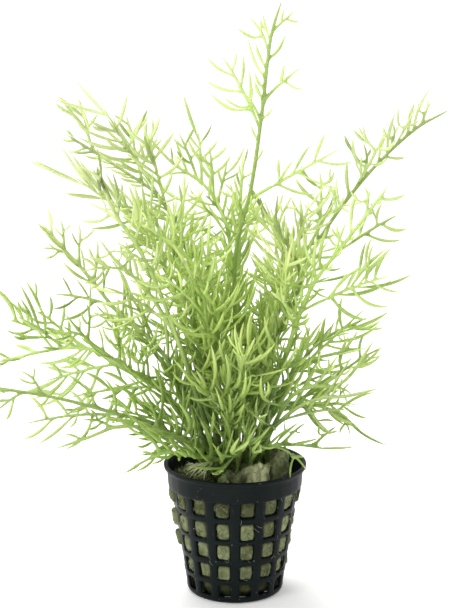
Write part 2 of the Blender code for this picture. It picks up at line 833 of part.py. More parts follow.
def solids_in_the_way(space):
    """The pot's rim, the torn top of the wool and the roots, as capsules."""
    count = 24
    turns = [2 * math.pi * k / count for k in range(count + 1)]
    rim = [(26.0 * math.cos(turn), 26.0 * math.sin(turn), 49.6) for turn in turns]
    space.add(rim, np.full(count + 1, 1.9))
    tops, peaks = torn_edge()
    wool = []
    for angle, top, peak in zip(wool_angles(), tops, peaks):
        radius = (peak + HOLLOW_RADIUS + 1.2) / 2
        wool.append((radius * math.cos(angle), radius * math.sin(angle), top - 2.6))
    space.add(wool + wool[:1], np.full(len(wool) + 1, 3.0))
    cx, cy, cz = CLUMP_CENTRE
    space.add([(cx - 3, cy + 2, cz), (cx + 3.4, cy - 2.2, cz)], np.full(2, CLUMP_SIZE[2] + 0.9))


def make_fronds(look):
    fronds = all_fronds()
    space = Space()
    solids_in_the_way(space)
    for frond, slot in zip(fronds, shared_out(fronds, crown_slots(len(fronds)))):
        root, normal = crown_point(*slot, lift=CLEARANCE + 0.7 * slot[0])
        frond.place_spine(root, normal, space)
    for frond in fronds:
        frond.grow(space)
    for frond in fronds:
        bm = bmesh.new()
        skin(bm, skeleton(frond))
        add_object(frond.name, bm, look)
    return fronds


def main():
    clear_scene()
    looks = {
        name: material(name, colour, 0.35 if name == "plastic" else 0.6)
        for name, colour in COLOURS.items()
    }
    make_pot(looks["plastic"])
    make_wool(looks["wool"])
    make_crown(looks["crown"])
    make_roots(looks["roots"])
    make_fronds(looks["frond"])


main()
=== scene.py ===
"""Dresses a potted water sprite: finely lobed fronds, fibrous rockwool, roots and a satin pot.

Everything is laid out in millimetres and scaled to metres as each mesh is made.
Each stalk, branch and main lobe stands where its CAD frond has it. Finer lobes are added
between them wherever they have room.
"""

import json
import math
import random
from collections import namedtuple
from itertools import product

import bmesh
import bpy
import numpy as np
from mathutils import Matrix, Vector, noise

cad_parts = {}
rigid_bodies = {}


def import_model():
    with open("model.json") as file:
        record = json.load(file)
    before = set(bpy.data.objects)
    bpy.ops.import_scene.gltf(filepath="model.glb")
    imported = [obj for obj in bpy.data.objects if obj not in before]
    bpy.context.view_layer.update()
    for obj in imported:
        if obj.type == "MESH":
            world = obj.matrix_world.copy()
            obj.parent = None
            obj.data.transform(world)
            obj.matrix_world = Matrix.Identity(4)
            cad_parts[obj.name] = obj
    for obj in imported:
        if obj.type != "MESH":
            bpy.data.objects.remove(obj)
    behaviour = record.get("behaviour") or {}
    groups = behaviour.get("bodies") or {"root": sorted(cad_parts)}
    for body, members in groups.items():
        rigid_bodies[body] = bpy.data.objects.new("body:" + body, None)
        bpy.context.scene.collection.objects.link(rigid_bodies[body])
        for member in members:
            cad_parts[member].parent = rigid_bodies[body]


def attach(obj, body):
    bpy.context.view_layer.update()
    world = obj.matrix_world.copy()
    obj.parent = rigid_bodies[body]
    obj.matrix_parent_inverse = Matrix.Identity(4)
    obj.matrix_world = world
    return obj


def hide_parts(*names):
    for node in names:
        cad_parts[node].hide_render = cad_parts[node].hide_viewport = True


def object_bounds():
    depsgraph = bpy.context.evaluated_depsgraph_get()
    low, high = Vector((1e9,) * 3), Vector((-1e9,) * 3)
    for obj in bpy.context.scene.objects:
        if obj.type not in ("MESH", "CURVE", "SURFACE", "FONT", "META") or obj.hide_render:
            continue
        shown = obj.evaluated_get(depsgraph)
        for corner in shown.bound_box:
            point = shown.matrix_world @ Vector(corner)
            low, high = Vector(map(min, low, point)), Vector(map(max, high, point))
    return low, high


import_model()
cad_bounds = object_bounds()

MM = 0.001
UP = np.array((0.0, 0.0, 1.0))

# Gaps kept between limbs, and the cells that neighbours are looked up in
CLEARANCE = 0.35
STALK_GAP = 0.55
CELL = 6.0

# Pot, in millimetres
WALL_TOP_RADIUS = 24.4
WALL_FOOT_RADIUS = 18.9
WALL = 1.2
FLOOR = 1.4
COLUMNS = 15
WINDOW_DEGREES = 13.8
WINDOW_ROWS = ((2.8, 7.8), (10.0, 15.8), (18.4, 24.6), (26.5, 33.2), (35.7, 42.3))
WINDOW_MARGIN = 1.2
SLOT_RADII = (7.0, 14.5)
HUB_RADIUS = 3.5
OUTER_FOOT = ((16.6, 0.0), (17.5, 0.12), (18.25, 0.6), (18.65, 1.5))
INNER_FOOT = ((15.6, FLOOR), (16.4, 1.45), (17.0, 1.75), (17.4, 2.2))

# Corners of the pot's windows, and its rim as (radius, height)
CORNER = 0.9
CORNER_DEGREES = 2.4
RIM = (
    (24.6, 42.35), (25.65, 42.4), (25.9, 42.65), (26.0, 44.5), (26.25, 48.9), (26.35, 49.3),
    (27.25, 49.42), (27.5, 49.6), (27.52, 50.7), (27.38, 50.95), (27.15, 51.0), (26.5, 51.0),
    (26.2, 50.9), (25.95, 50.5), (25.0, 47.5), (24.6, 44.0),
)

# Rockwool, crown and roots
PILLOW = 1.4
RECESS = 1.6
WOOL_PEAK_RADIUS = 19.6
EDGE_LOW = 46.0
EDGE_RISE = 11.5
EDGE_TURN = math.radians(28)
EDGE_TEAR = 1.6
EDGE_SPREAD = (-1.3, 0.8)
BED_REACH = math.radians(32)
HOLLOW_RADIUS = 14.6
HOLLOW_FLOOR = 40.0
HOLLOW_LIP = HOLLOW_RADIUS + 1.2
WOOL_START = 0.3
WOOL_BRIM = WINDOW_ROWS[-1][1] + 0.8
FOOT_HEIGHT = 5.0
HIGHEST_EDGE = 52.0
CROWN_CENTRE = (-1.2, -0.8, 40.4)
CROWN_SIZE = (12.4, 11.9, 10.4)
CLUMP_CENTRE = (-14.8, -12.2, 48.4)
CLUMP_SIZE = (5.8, 3.3, 3.8)
CLUMP_BED = 45.0

# The pot's rim, the wool's torn top and the roots, as the capsules that fronds keep clear of
RIM_AROUND = 24
RIM_MIDDLE = (26.0, 49.6)
RIM_HALF = 1.9
TORN_DEPTH = 2.6
TORN_HALF = 3.0
CLUMP_ENDS = ((-3, 2, 0), (3.4, -2.2, 0))
CLUMP_MARGIN = 0.9

# Fronds: sizes, then the places and turns that are tried until a limb has room
STALK_RADIUS = 1.12
TIP_RADIUS = 0.58
BRANCH_RADIUS = 0.68
BRANCH_ANGLE = math.radians(46.0)
LOBE_BASE = 0.8
LOBE_ANGLE = math.radians(43.0)
LONGEST_LOBE = 15.0
SHORTEST_LOBE = 4.2
FRONT_FACE = (0.0, -0.86, 0.5)
OPEN_FACE = (0.1, -0.45, 0.85)
STALK_LEAN = 0.35
STALK_START = 8.0
STALK_REACH = 15.0
CROWN_USED = 0.9
FIRST_BRANCH = 6.0
BARE_TIP = 2.5
BRANCH_SPACING = 2.4
SHORTEST_BRANCH = 4.0
BRANCH_SPAN = (0.12, 0.985)
BRANCH_LEANS = (0.15, 0.5)
BRANCH_FOOT = 0.8
BRANCH_BOW = -0.09
BRANCH_TAPER = 0.35
POINT_RADIUS = 0.1
DEPTHS = (0, -2, 2, -4, 4, -6, 6, -9, 9, -12, 12)
SWINGS = (0, -2, 2, -4, 4)
BRANCH_STRETCHES = (1.0, 0.8, 0.62, 0.45)
BRANCH_TURNS = (0, 12, -12, 24, -24, 38, -38)
LOBE_RISE = 0.24
LOBE_SPREAD = 0.14
LOBE_TILTS = (0.1, 0.35, -0.2, 0.6)
LOBE_STRETCHES = (1.0, 0.78, 0.58)
SWAP_ROUNDS = 12

# Each frond seen from the front: the points its spine passes (x, y, z), then either the
# tips of its branches (x, z), or how many branches it has and how long the longest is.
FRONDS = {
    "tall": (
        ((1, 3, 75), (0, 6, 128), (6, 6, 156), (10, 3, 185), (13, 0, 212), (17, -2, 226)),
        ((39, 172), (6, 180), (0, 196), (-5, 205), (24, 202), (5, 220), (14, 213), (22, 222)),
    ),
    "right_high": (
        ((14, 13, 91), (30, 22, 129), (50, 31, 156), (70, 40, 174), (85, 45, 182)),
        ((32, 162), (50, 170), (57, 176), (62, 177), (70, 184), (76, 186), (45, 146), (67, 164)),
    ),
    "right_mid": (
        ((18, -13, 94), (27, -21, 122), (39, -28, 141), (48, -32, 154), (54, -34, 163)),
        ((60, 160), (59, 150), (56, 129), (28, 136), (45, 163), (50, 111), (37, 134)),
    ),
    "centre_right": (
        ((16, -5, 92), (28, -8, 120), (25, -10, 133), (18, -10, 143), (16, -11, 155)),
        ((10, 144), (8, 152), (21, 155), (28, 152), (35, 139), (15, 129)),
    ),
    "right_arching": (
        ((13, -11, 79), (18, -15, 90), (28, -20, 96), (45, -25, 102)),
        ((44, 109), (34, 107), (24, 105), (35, 90)),
    ),
    "right_rising": (
        ((19, -20, 80), (27, -28, 88), (39, -33, 91), (50, -36, 108)),
        ((46, 106), (54, 102), (37, 102), (43, 84)),
    ),
    "right_low": (
        ((20, -24, 77), (30, -33, 85), (40, -37, 87), (52, -40, 91)),
        ((38, 93), (46, 95), (41, 79), (32, 77)),
    ),
    "right_drooping": (
        ((17, 7, 71), (32, 12, 70), (42, 15, 65), (51, 16, 57)),
        ((45, 73), (51, 68), (45, 58), (33, 61), (26, 79)),
    ),
    "right_hanging": (
        ((13, -22, 61), (22, -28, 64), (33, -30, 62)),
        ((27, 54), (38, 69), (26, 74)),
    ),
    "upper_left": (
        ((-11, 14, 96), (-18, 24, 127), (-29, 32, 148), (-45, 40, 159), (-67, 46, 172)),
        ((-62, 161), (-61, 182), (-50, 185), (-43, 181), (-35, 179), (-18, 155), (-39, 144)),
    ),
    "left_leafy": (
        ((-9, 4, 92), (-19, 8, 122), (-29, 11, 140), (-37, 12, 153)),
        ((-44, 150), (-27, 156), (-20, 150), (-41, 141), (-12, 141), (-34, 127), (-8, 128)),
    ),
    "right_leafy": (
        ((11, 2, 92), (20, 4, 118), (29, 6, 136), (38, 7, 152)),
        ((44, 151), (30, 153), (41, 141), (19, 142), (36, 124), (10, 130)),
    ),
    "second_left": (
        ((-4, 20, 99), (-2, 29, 131), (-10, 34, 151), (-25, 38, 162), (-33, 40, 171)),
        ((-22, 175), (-15, 175), (-10, 170), (-3, 163), (3, 152), (-20, 147)),
    ),
    "left_curling": (
        ((-20, -17, 100), (-31, -26, 132), (-43, -30, 153), (-48, -31, 165), (-56, -32, 170)),
        ((-40, 164), (-54, 155), (-33, 155), (-28, 141), (-46, 139)),
    ),
    "left_mid": (
        ((-27, 7, 91), (-44, 12, 106), (-57, 16, 121), (-66, 18, 131), (-75, 20, 141)),
        ((-67, 143), (-60, 141), (-75, 132), (-53, 135), (-70, 116), (-58, 105), (-41, 119)),
    ),
    "left_inner": (
        ((-21, -13, 101), (-32, -20, 122), (-43, -24, 134), (-49, -26, 143)),
        ((-56, 131), (-40, 141), (-30, 134), (-49, 122), (-22, 122)),
    ),
    "left_dark": (
        ((-11, -16, 101), (-16, -19, 128), (-28, -20, 140), (-41, -21, 148)),
        ((-32, 151), (-22, 150), (-32, 131), (-8, 141)),
    ),
    "left_low": (
        ((-27, 16, 73), (-47, 22, 84), (-59, 26, 90), (-75, 28, 88), (-96, 28, 83)),
        ((-89, 102), (-80, 104), (-72, 98), (-77, 75), (-65, 74), (-48, 98), (-46, 73)),
    ),
    "left_fan": (
        ((-27, -2, 79), (-42, -4, 90), (-55, -5, 100), (-64, -6, 111)),
        ((-67, 103), (-56, 114), (-47, 112), (-68, 95), (-36, 101)),
    ),
    "left_bottom": (
        ((-26, -11, 69), (-40, -16, 76), (-58, -20, 83), (-73, -22, 87), (-90, -22, 90)),
        ((-88, 80), (-79, 70), (-64, 76), (-79, 94), (-56, 90), (-34, 83)),
    ),
    "left_lowest": (
        ((-26, -18, 68), (-42, -20, 71), (-54, -21, 67), (-67, -23, 63)),
        ((-63, 69), (-48, 58), (-57, 75), (-35, 80)),
    ),
    "left_small": (
        ((-20, -20, 60), (-27, -22, 61), (-39, -24, 56)),
        ((-35, 62), (-34, 68), (-25, 68)),
    ),
    "front_left": (
        ((-3, -18, 73), (-6, -20, 80), (-14, -23, 89)),
        ((-12, 96), (-5, 91), (-17, 83)),
    ),
    "front": (
        ((-1, -16, 74), (-3, -20, 86), (-2, -22, 100)),
        ((4, 94), (-8, 99), (4, 84), (-9, 89)),
    ),
    "front_low": (
        ((1, -19, 60), (5, -22, 65), (12, -24, 70)),
        ((15, 65), (6, 74), (4, 54)),
    ),
}

# Fronds that fill the middle and the back: direction seen from above (0 is +X, 90 is the
# back), how far out and how high the tip is, number of branches, longest branch.
RADIAL_FRONDS = {
    "inner": (
        (248, 34, 124, 6, 17),
        (200, 36, 137, 7, 17),
        (345, 36, 131, 7, 17),
        (275, 42, 104, 6, 16),
    ),
    "back": (
        (58, 60, 138, 6, 20),
        (97, 68, 116, 6, 20),
        (132, 60, 142, 6, 20),
        (28, 60, 102, 6, 18),
        (160, 60, 106, 6, 18),
        (85, 38, 166, 6, 20),
    ),
}

# What the drawn plant adds to the CAD one, in millimetres
CAD_BOX = [[value * 1000.0 for value in corner] for corner in cad_bounds]
CAGE = 0.97
LOBE_RADIUS = 0.76
STRAP_RADIUS = 1.0
LOBE_FLAT = 0.5
BRANCH_FLAT = 0.8
STALK_FLAT = 0.92
LOBE_HALF = 0.42
BRANCH_HALF = 0.5
STALK_HALF = 0.72
LOBE_SHARES = (0.0, 0.15, 0.42, 0.68, 0.87, 1.0)
LOBE_WIDTHS = (0.46, 0.68, 1.0, 0.92, 0.6, 0.08)
LOBE_SPACING = 3.4
UNEVEN = (0.45, 0.6, 0.75, 0.9, 1.1, 1.4, 1.9)
PLAIN_BELOW = 10.5
NEXT_LOBE = 1.15
FORK_FROM = 9.0
FORK_SHARES = (0.36, 0.55)
FORK_CHANCE = 0.32
FORK_ANGLES = (0.38, 0.62)
FORK_RADII = np.array((0.4, 0.2))
FORK_GAP = 0.15
SHORTEST_FORK = 2.2
ADDED_TILTS = (0.1, 0.45, -0.35, 0.8, -0.7)
ADDED_STRETCHES = (1.0, 0.8, 0.62)
ADDED_RADII = np.array((0.5, 0.25))
ADDED_GAP = 0.12
SHORTEST_ADDED = 5.6
LONGEST_ADDED = 22.0
BRANCH_RADII = np.array((0.6, 0.4))
FIRST_ADDED = 8.0
ADDED_SPACING = 3.4
NEXT_BRANCH = 1.6
BRANCH_PAIRING = 1.7
RISE = np.array((0.0, 0.0, 0.34))
LEAFY_RADIUS = 20.0
BARE_RADIUS = 58.0
BARE_SPARSENESS = 1.6
INNER_RADIUS = 16.0
INNER_FADE = 26.0
INNER_TOP = 100.0
INNER_TOP_FADE = 50.0
INNER_CROWDING = 0.76
ATTEMPTS = 10
INNER_ATTEMPTS = 26
ADDED_LEANS = (-0.9, 1.1)
ADDED_END = 3.0

# The corners of a limb's ring, in order: which side of its face and which edge each is on
RING = ((1, 1), (1, -1), (-1, -1), (-1, 1))

# How leafy each frond is, and how far its lobes bow and how thick they are, as factors of
# the usual. A bare one has few lobes low on its stalk, a simple one has plain branches.
Habit = namedtuple("Habit", "leafiness bow girth bare simple", defaults=(1.0, 1.0, 1.0, False, False))
HABITS = {
    "tall": Habit(0.6, 0.6, bare=True, simple=True),
    "right_high": Habit(1.3, girth=1.15, bare=True, simple=True),
    "right_mid": Habit(0.8, girth=1.2),
    "centre_right": Habit(0.85, 0.5),
    "right_arching": Habit(0.25, simple=True),
    "right_rising": Habit(0.25, simple=True),
    "right_low": Habit(0.25, girth=1.15, simple=True),
    "right_drooping": Habit(0.25, simple=True),
    "right_hanging": Habit(0.3, simple=True),
    "upper_left": Habit(2.2, 0.25, 1.25, bare=True),
    "left_leafy": Habit(0.75, 0.5),
    "right_leafy": Habit(0.7, 0.5),
    "second_left": Habit(1.0, 0.4, bare=True),
    "left_curling": Habit(0.5, simple=True),
    "left_mid": Habit(0.9, 0.6, bare=True, simple=True),
    "left_inner": Habit(0.45),
    "left_low": Habit(0.85, girth=1.3, bare=True),
    "left_fan": Habit(0.7),
    "left_bottom": Habit(0.5, girth=1.1, bare=True, simple=True),
    "left_lowest": Habit(0.45, bare=True, simple=True),
    "left_small": Habit(0.5, simple=True),
    "front_left": Habit(1.8),
    "front": Habit(1.8),
    "front_low": Habit(1.4),
    "inner_1": Habit(2.0),
    "inner_2": Habit(2.0),
    "inner_3": Habit(1.9),
    "inner_4": Habit(2.2),
    "back_1": Habit(1.2, 0.5, bare=True),
    "back_2": Habit(2.2),
    "back_3": Habit(1.5),
    "back_4": Habit(0.3),
    "back_6": Habit(1.0, 0.5),
}

# Gaps and tufts seen from the front, on the plane y = 0: x, z and radius
CLEARINGS = (
    (-65, 159, 10), (-44, 154, 6), (-38, 190, 8), (-57, 149, 6), (-12, 181, 10), (-3, 171, 5),
    (20, 158, 10), (45, 115, 11), (-48, 193, 9), (65, 194, 5), (-67, 113, 9), (-66, 66, 11),
    (44, 101, 8), (-44, 58, 6), (-9, 197, 9), (18, 201, 6), (-52, 141, 8), (8, 166, 6),
    (30, 152, 6),
)
TUFTS = ((-53, 175, 14), (-74, 98, 19), (-43, 94, 14), (38, 158, 13), (28, 171, 8), (-47, 128, 7))
TUFT_GAIN = 0.9
BRUSH_FROND = "frond_upper_left"
BRUSH_RISE = np.array((-0.6, 0.0, 0.05))
BRUSH_FROM = 0.62
BARE_UPTO = 0.6
BARE_SHARE = 0.3
ONE_SIDED = "frond_right_high"
MOUTH_LOW = 50.5
OUTSIDE_LOW = 56.0

# Brown spots on the fronds: middle and radius
BLEMISHES = (((-45.9, -31.0, 162.6), 3.0), ((33.2, -35.0, 83.6), 2.2), ((38.3, -35.0, 79.5), 2.2))

# Wool, crown and roots as drawn; each layer of lumps is its height, its scale and its seed
WOOL_AROUND = 420
WOOL_RINGS = 90
TOP_RINGS = (14, 9, 7)
WOOL_LUMPS = ((0.5, 0.35, 0.0), (0.28, 0.9, 9.0), (0.14, 2.4, 4.0))
TOP_LUMPS = ((1.9, 0.3, 3.0), (1.2, 0.9, 6.0))
CREASE_SHARPNESS = 6.0
CREASE_DEPTH = 1.3
LEFT_SPREAD = 3.0
LEFT_TURN = math.radians(195.0)
DULL = 0.4
# Where a pool of painted light lies on the wool's torn top: its middle, its stretch and its reach
LIGHT_POOL_MIDDLE = (8.6, -18.0, 50.5)
LIGHT_POOL_FORM = (1.0, 0.5, 0.6)
LIGHT_POOL_REACH = 5.5
QUARTERS = (0.0, 0.25, 0.5, 0.75, 1.0)
FIBRES = 5200
STRAYS = 110
SCALES = 46
CROWN_AROUND = 64
CROWN_RINGS = 22
CROWN_LUMPS = ((0.55, 0.8, 0.0), (0.2, 2.2, 0.0))
MOUND_LUMPS = ((0.16, 0.5, 0.0), (0.1, 1.4, 5.0))
MOUND_TONE = 0.12
HAIR_STEPS = 5
CLUMP_TURN = -38.0
ROOT_KNOT = (-8.6, -12.6, 54.5)
FAN_TURNS = (math.radians(150), math.radians(345))
FAN_HAIRS = 70
THICK_ROOTS = 22
# Each mound: middle, half size, turn in degrees, hairs and how pale the palest are
MOUNDS = (
    (CLUMP_CENTRE, CLUMP_SIZE, CLUMP_TURN, 520, 0.75),
    ((-19.6, -7.9, 46.6), (3.2, 6.2, 3.5), 22.0, 360, 0.6),
)

# Finishes: where each colour stands along its ramp, then the colours laid over it. Each
# layer has a colour and the spreads, of places in metres or of what is drawn on the mesh,
# that say how strong it is.
# Painted shade for the low and inner limbs
PAINTED_SHADE_LEAF = (0.10, 0.19, 0.034)
# Painted shade laid along the edges of the limbs
LEAF_EDGE_SHADE = (0.42, 0.5, 0.36)
LEAF_STOPS = (
    (0.0, (0.15, 0.22, 0.055)),
    (0.3, (0.305, 0.45, 0.09)),
    (0.65, (0.5, 0.62, 0.14)),
    (1.0, (0.73, 0.80, 0.29)),
)
LEAF_LAYERS = (
    # Painted light and shade: paler high up towards the tips (painted light), painted shade deepening
    # the low and inner limbs, and a nearly black painted shadow over the pot's mouth
    ((0.84, 0.88, 0.60), ("height", 0.09, 0.17), ("age", 0.25, 0.75, 0.1, 0.8)),
    (PAINTED_SHADE_LEAF, ("height", 0.045, 0.11, 0.56, 0.0)),
    (PAINTED_SHADE_LEAF, ("out", 0.012, 0.045, 0.9, 0.0), ("height", 0.055, 0.1, 1.0, 0.0)),
    ((0.02, 0.04, 0.008), ("out", 0.015, 0.021, 1.0, 0.0), ("height", 0.052, 0.067, 0.92, 0.0)),
    # Painted light: a lighter green in the upper middle, lifting the shaded centre; olive far out
    ((0.7, 0.84, 0.26), ("out", 0.02, 0.055, 0.4, 0.0), ("height", 0.08, 0.105)),
    ((0.50, 0.54, 0.27), ("out", 0.022, 0.07, 0.0, 0.75), ("height", 0.08, 0.14, 1.0, 0.5)),
    # From limb to limb: duller, a few dark, and brown spots
    ((0.26, 0.36, 0.12), ("tone", 0.0, 0.8, 0.0, 0.35)),
    ((0.13, 0.18, 0.05), ("tone", 0.84, 0.9, 0.0, 0.55)),
    ((0.07, 0.06, 0.025), ("tone", 1.2, 1.8, 0.0, 0.9)),
)
FLECK_LAYERS = (
    ((0.34, 0.56, 0.07), ("tint", 0.0, 1.0, 0.0, 0.3)),
    ((0.62, 0.74, 0.25), ("cells", 0.35, 0.75, 0.0, 0.25)),
)
WOOL_STOPS = ((0.3, (0.17, 0.20, 0.08)), (0.5, (0.38, 0.43, 0.20)), (0.7, (0.60, 0.65, 0.37)))
WOOL_LAYERS = (
    ((0.50, 0.53, 0.30), ("strands", 0.5, 0.72, 0.0, 0.55)),
    # Darker where the tone and painted light value is low, the pool of painted light on the torn top,
    # the painted shade behind the bars, in the creases and down in the hollow, and stains
    ((0.02, 0.024, 0.008), ("clean", 0.1, 1.0, 0.8, 0.0)),
    ((0.78, 0.80, 0.46), ("clean", 0.9, 1.5, 0.0, 0.85)),
    ((0.025, 0.032, 0.014), ("depth", 0.1, 0.6, 0.9, 0.0)),
    ((0.09, 0.095, 0.03), ("stains", 0.54, 0.66, 0.0, 0.7)),
    # Soaked patches in the top row of windows
    (
        (0.045, 0.05, 0.015),
        ("soaking", 0.46, 0.56, 0.0, 0.8),
        ("height", 0.034, 0.038),
        ("height", 0.0435, 0.045, 1.0, 0.0),
    ),
    # Loose fibres and stray hairs
    ((0.62, 0.66, 0.52), ("depth", 1.05, 1.4, 0.0, 0.8)),
)
ROOT_STOPS = ((0.0, (0.02, 0.026, 0.01)), (0.5, (0.15, 0.18, 0.06)), (1.0, (0.62, 0.66, 0.38)))
CROWN_STOPS = ((0.3, (0.045, 0.060, 0.018)), (0.7, (0.17, 0.22, 0.06)))
PLASTIC_STOPS = ((0.3, (0.003, 0.0058, 0.0058)), (0.7, (0.007, 0.0112, 0.011)))
DUST_LAYERS = (((0.20, 0.21, 0.19), ("dust", 0.735, 0.77, 0.0, 0.55)),)
FLOOR_STOPS = ((0.3, (0.90, 0.90, 0.90)), (0.7, (0.93, 0.93, 0.93)))

# Camera, floor and lights, in metres and watts
PHOTO_HEIGHT = 608
SENSOR_WIDTH = 36.0
CLIP = (0.01, 50.0)
CAMERA_FOCAL_PIXELS = 1680.0
CAMERA_PLACE = (0.0, -0.620, 0.2455)
CAMERA_PITCH = 12.06
FLOOR_SPAN = (-6.0, 6.0, -6.0, 12.0)
LEVEL_FADE = (-0.5, 0.1)
FRONT_LEVEL = 0.4
BACK_LEVEL = 0.93
LAMPS = (
    ("top", (-0.15, 0.25, 0.85), (0.0, 0.0, 0.15), 0.5, 7.5, (1.0, 0.99, 0.96)),
    ("front_left", (-0.7, -0.6, 0.5), (0.0, 0.0, 0.1), 0.5, 4.8, (1.0, 1.0, 1.0)),
)


# The skeleton that the CAD fronds share


def ring_of(bm, angles, radius, height):
    return [bm.verts.new((radius * math.cos(a), radius * math.sin(a), height)) for a in angles]


def wall_radius(height):
    foot, top = WINDOW_ROWS[0][0], WINDOW_ROWS[-1][1]
    share = (height - foot) / (top - foot)
    return WALL_FOOT_RADIUS + share * (WALL_TOP_RADIUS - WALL_FOOT_RADIUS)


def wool_angles():
    """Pillows stand at every second angle, in the middle of a window."""
    count = 2 * COLUMNS
    return [-math.pi / 2 + 2 * math.pi * j / count for j in range(count)]


def torn_edge():
    """Height and radius of the wool's torn top: high on the front right, low on the left."""
    rng = random.Random(3)
    bed = math.atan2(CLUMP_CENTRE[1], CLUMP_CENTRE[0])
    tops, peaks = [], []
    for angle in wool_angles():
        right = 0.5 + 0.5 * math.cos(angle + EDGE_TURN)
        top = EDGE_LOW + EDGE_RISE * right**1.6 + rng.uniform(-EDGE_TEAR, EDGE_TEAR)
        in_bed = math.cos(angle - bed) > math.cos(BED_REACH)
        tops.append(CLUMP_BED if in_bed else top)
        peaks.append(WOOL_PEAK_RADIUS + rng.uniform(*EDGE_SPREAD))
    return tops, peaks


def crown_point(share, angle, lift=0.0):
    """A point on the crown's dome; share is 0 at its top and 1 at its edge."""
    cx, cy, cz = CROWN_CENTRE
    sx, sy, sz = CROWN_SIZE
    rise = math.sqrt(max(0.0, 1 - share * share))
    normal = np.array((share * math.cos(angle) / sx, share * math.sin(angle) / sy, rise / sz))
    normal /= np.linalg.norm(normal)
    point = (cx + sx * share * math.cos(angle), cy + sy * share * math.sin(angle), cz + sz * rise)
    return np.array(point) + normal * lift, normal


class Space:
    """The room already taken, held as capsules (start, end, radius) in a grid of cells."""

    def __init__(self):
        self.rows = np.zeros((1024, 7))
        self.count = 0
        self.cells = {}

    def add(self, path, radii):
        path = np.asarray(path, float)
        for start, end, radius in zip(path, path[1:], np.maximum(radii[:-1], radii[1:])):
            if self.count == len(self.rows):
                self.rows = np.vstack([self.rows, np.zeros_like(self.rows)])
            self.rows[self.count] = (*start, *end, radius)
            for cell in self.cells_of(np.array((start, end)), radius):
                self.cells.setdefault(cell, []).append(self.count)
            self.count += 1

    @staticmethod
    def cells_of(path, margin):
        """The cells that a path could touch, this far out from its box."""
        low = np.floor((path.min(0) - margin) / CELL).astype(int)
        high = np.floor((path.max(0) + margin) / CELL).astype(int) + 1
        return product(*(range(a, b) for a, b in zip(low, high)))

    def room(self, path, radii, held=None):
        """The smallest gap between this path and what is held, in millimetres."""
        path = np.asarray(path, float)
        held = self.rows[: self.count] if held is None else held
        p, q = path[:-1], path[1:]
        own = np.maximum(radii[:-1], radii[1:])
        d1, d2 = q - p, held[:, 3:6] - held[:, :3]
        r = p[:, None] - held[None, :, :3]
        a = (d1 * d1).sum(1)[:, None]
        e = (d2 * d2).sum(1)[None]
        b = d1 @ d2.T
        c = (d1[:, None] * r).sum(2)
        f = (d2[None] * r).sum(2)
        s = np.clip((b * f - c * e) / np.maximum(a * e - b * b, 1e-9), 0, 1)
        t = np.clip((b * s + f) / e, 0, 1)
        s = np.clip((b * t - c) / a, 0, 1)
        gap = r + d1[:, None] * s[..., None] - d2[None] * t[..., None]
        return float((np.linalg.norm(gap, axis=2) - own[:, None] - held[None, :, 6]).min())

    def free(self, path, radii, gap):
        """Whether a path keeps this gap from everything held near it."""
        path = np.asarray(path, float)
        near = set()
        for cell in self.cells_of(path, radii.max() + gap):
            near.update(self.cells.get(cell, ()))
        return not near or self.room(path, radii, self.rows[sorted(near)]) > gap


class Limb:
    """A stalk, branch or lobe: its middle line, its radius at each point, and its children.

    A child is (segment, side, limb) and grows from that side of the segment.
    A plain one is drawn as one long lobe.
    """

    plain = False

    def __init__(self, path, radii, up):
        self.path = np.asarray(path, float)
        self.radii = np.asarray(radii, float)
        self.up = np.asarray(up, float)
        self.children = []

    def tangent(self, index):
        low, high = max(index - 1, 0), min(index + 1, len(self.path) - 1)
        return unit(self.path[high] - self.path[low])


def unit(vector):
    vector = np.asarray(vector, float)
    return vector / max(np.linalg.norm(vector), 1e-9)


def across(vector, tangent):
    """The part of a vector that is square to the tangent, at unit length."""
    return unit(vector - np.dot(vector, tangent) * tangent)


def smooth_curve(points, steps=10):
    """A Catmull-Rom curve through the points, as a fine polyline."""
    p = np.asarray(points, float)
    p = np.vstack([2 * p[0] - p[1], p, 2 * p[-1] - p[-2]])
    t = np.linspace(0, 1, steps, endpoint=False)[:, None]
    found = []
    for a, b, c, d in zip(p, p[1:], p[2:], p[3:]):
        found.append(0.5 * (
            2 * b + (c - a) * t + (2 * a - 5 * b + 4 * c - d) * t**2
            + (3 * b - a - 3 * c + d) * t**3
        ))
    return np.vstack(found + [p[-2:-1]])


class Curve:
    """A polyline read by distance along it."""

    def __init__(self, points):
        self.points = np.asarray(points, float)
        steps = np.linalg.norm(np.diff(self.points, axis=0), axis=1)
        self.marks = np.concatenate([[0.0], np.cumsum(steps)])
        self.length = self.marks[-1]

    def at(self, distance):
        return np.array([np.interp(distance, self.marks, self.points[:, k]) for k in range(3)])

    def tangent(self, distance, step=1.5):
        return unit(self.at(distance + step) - self.at(distance - step))


def turned(vector, axis, angle):
    axis = unit(axis)
    c, s = math.cos(angle), math.sin(angle)
    return vector * c + np.cross(axis, vector) * s + axis * np.dot(axis, vector) * (1 - c)


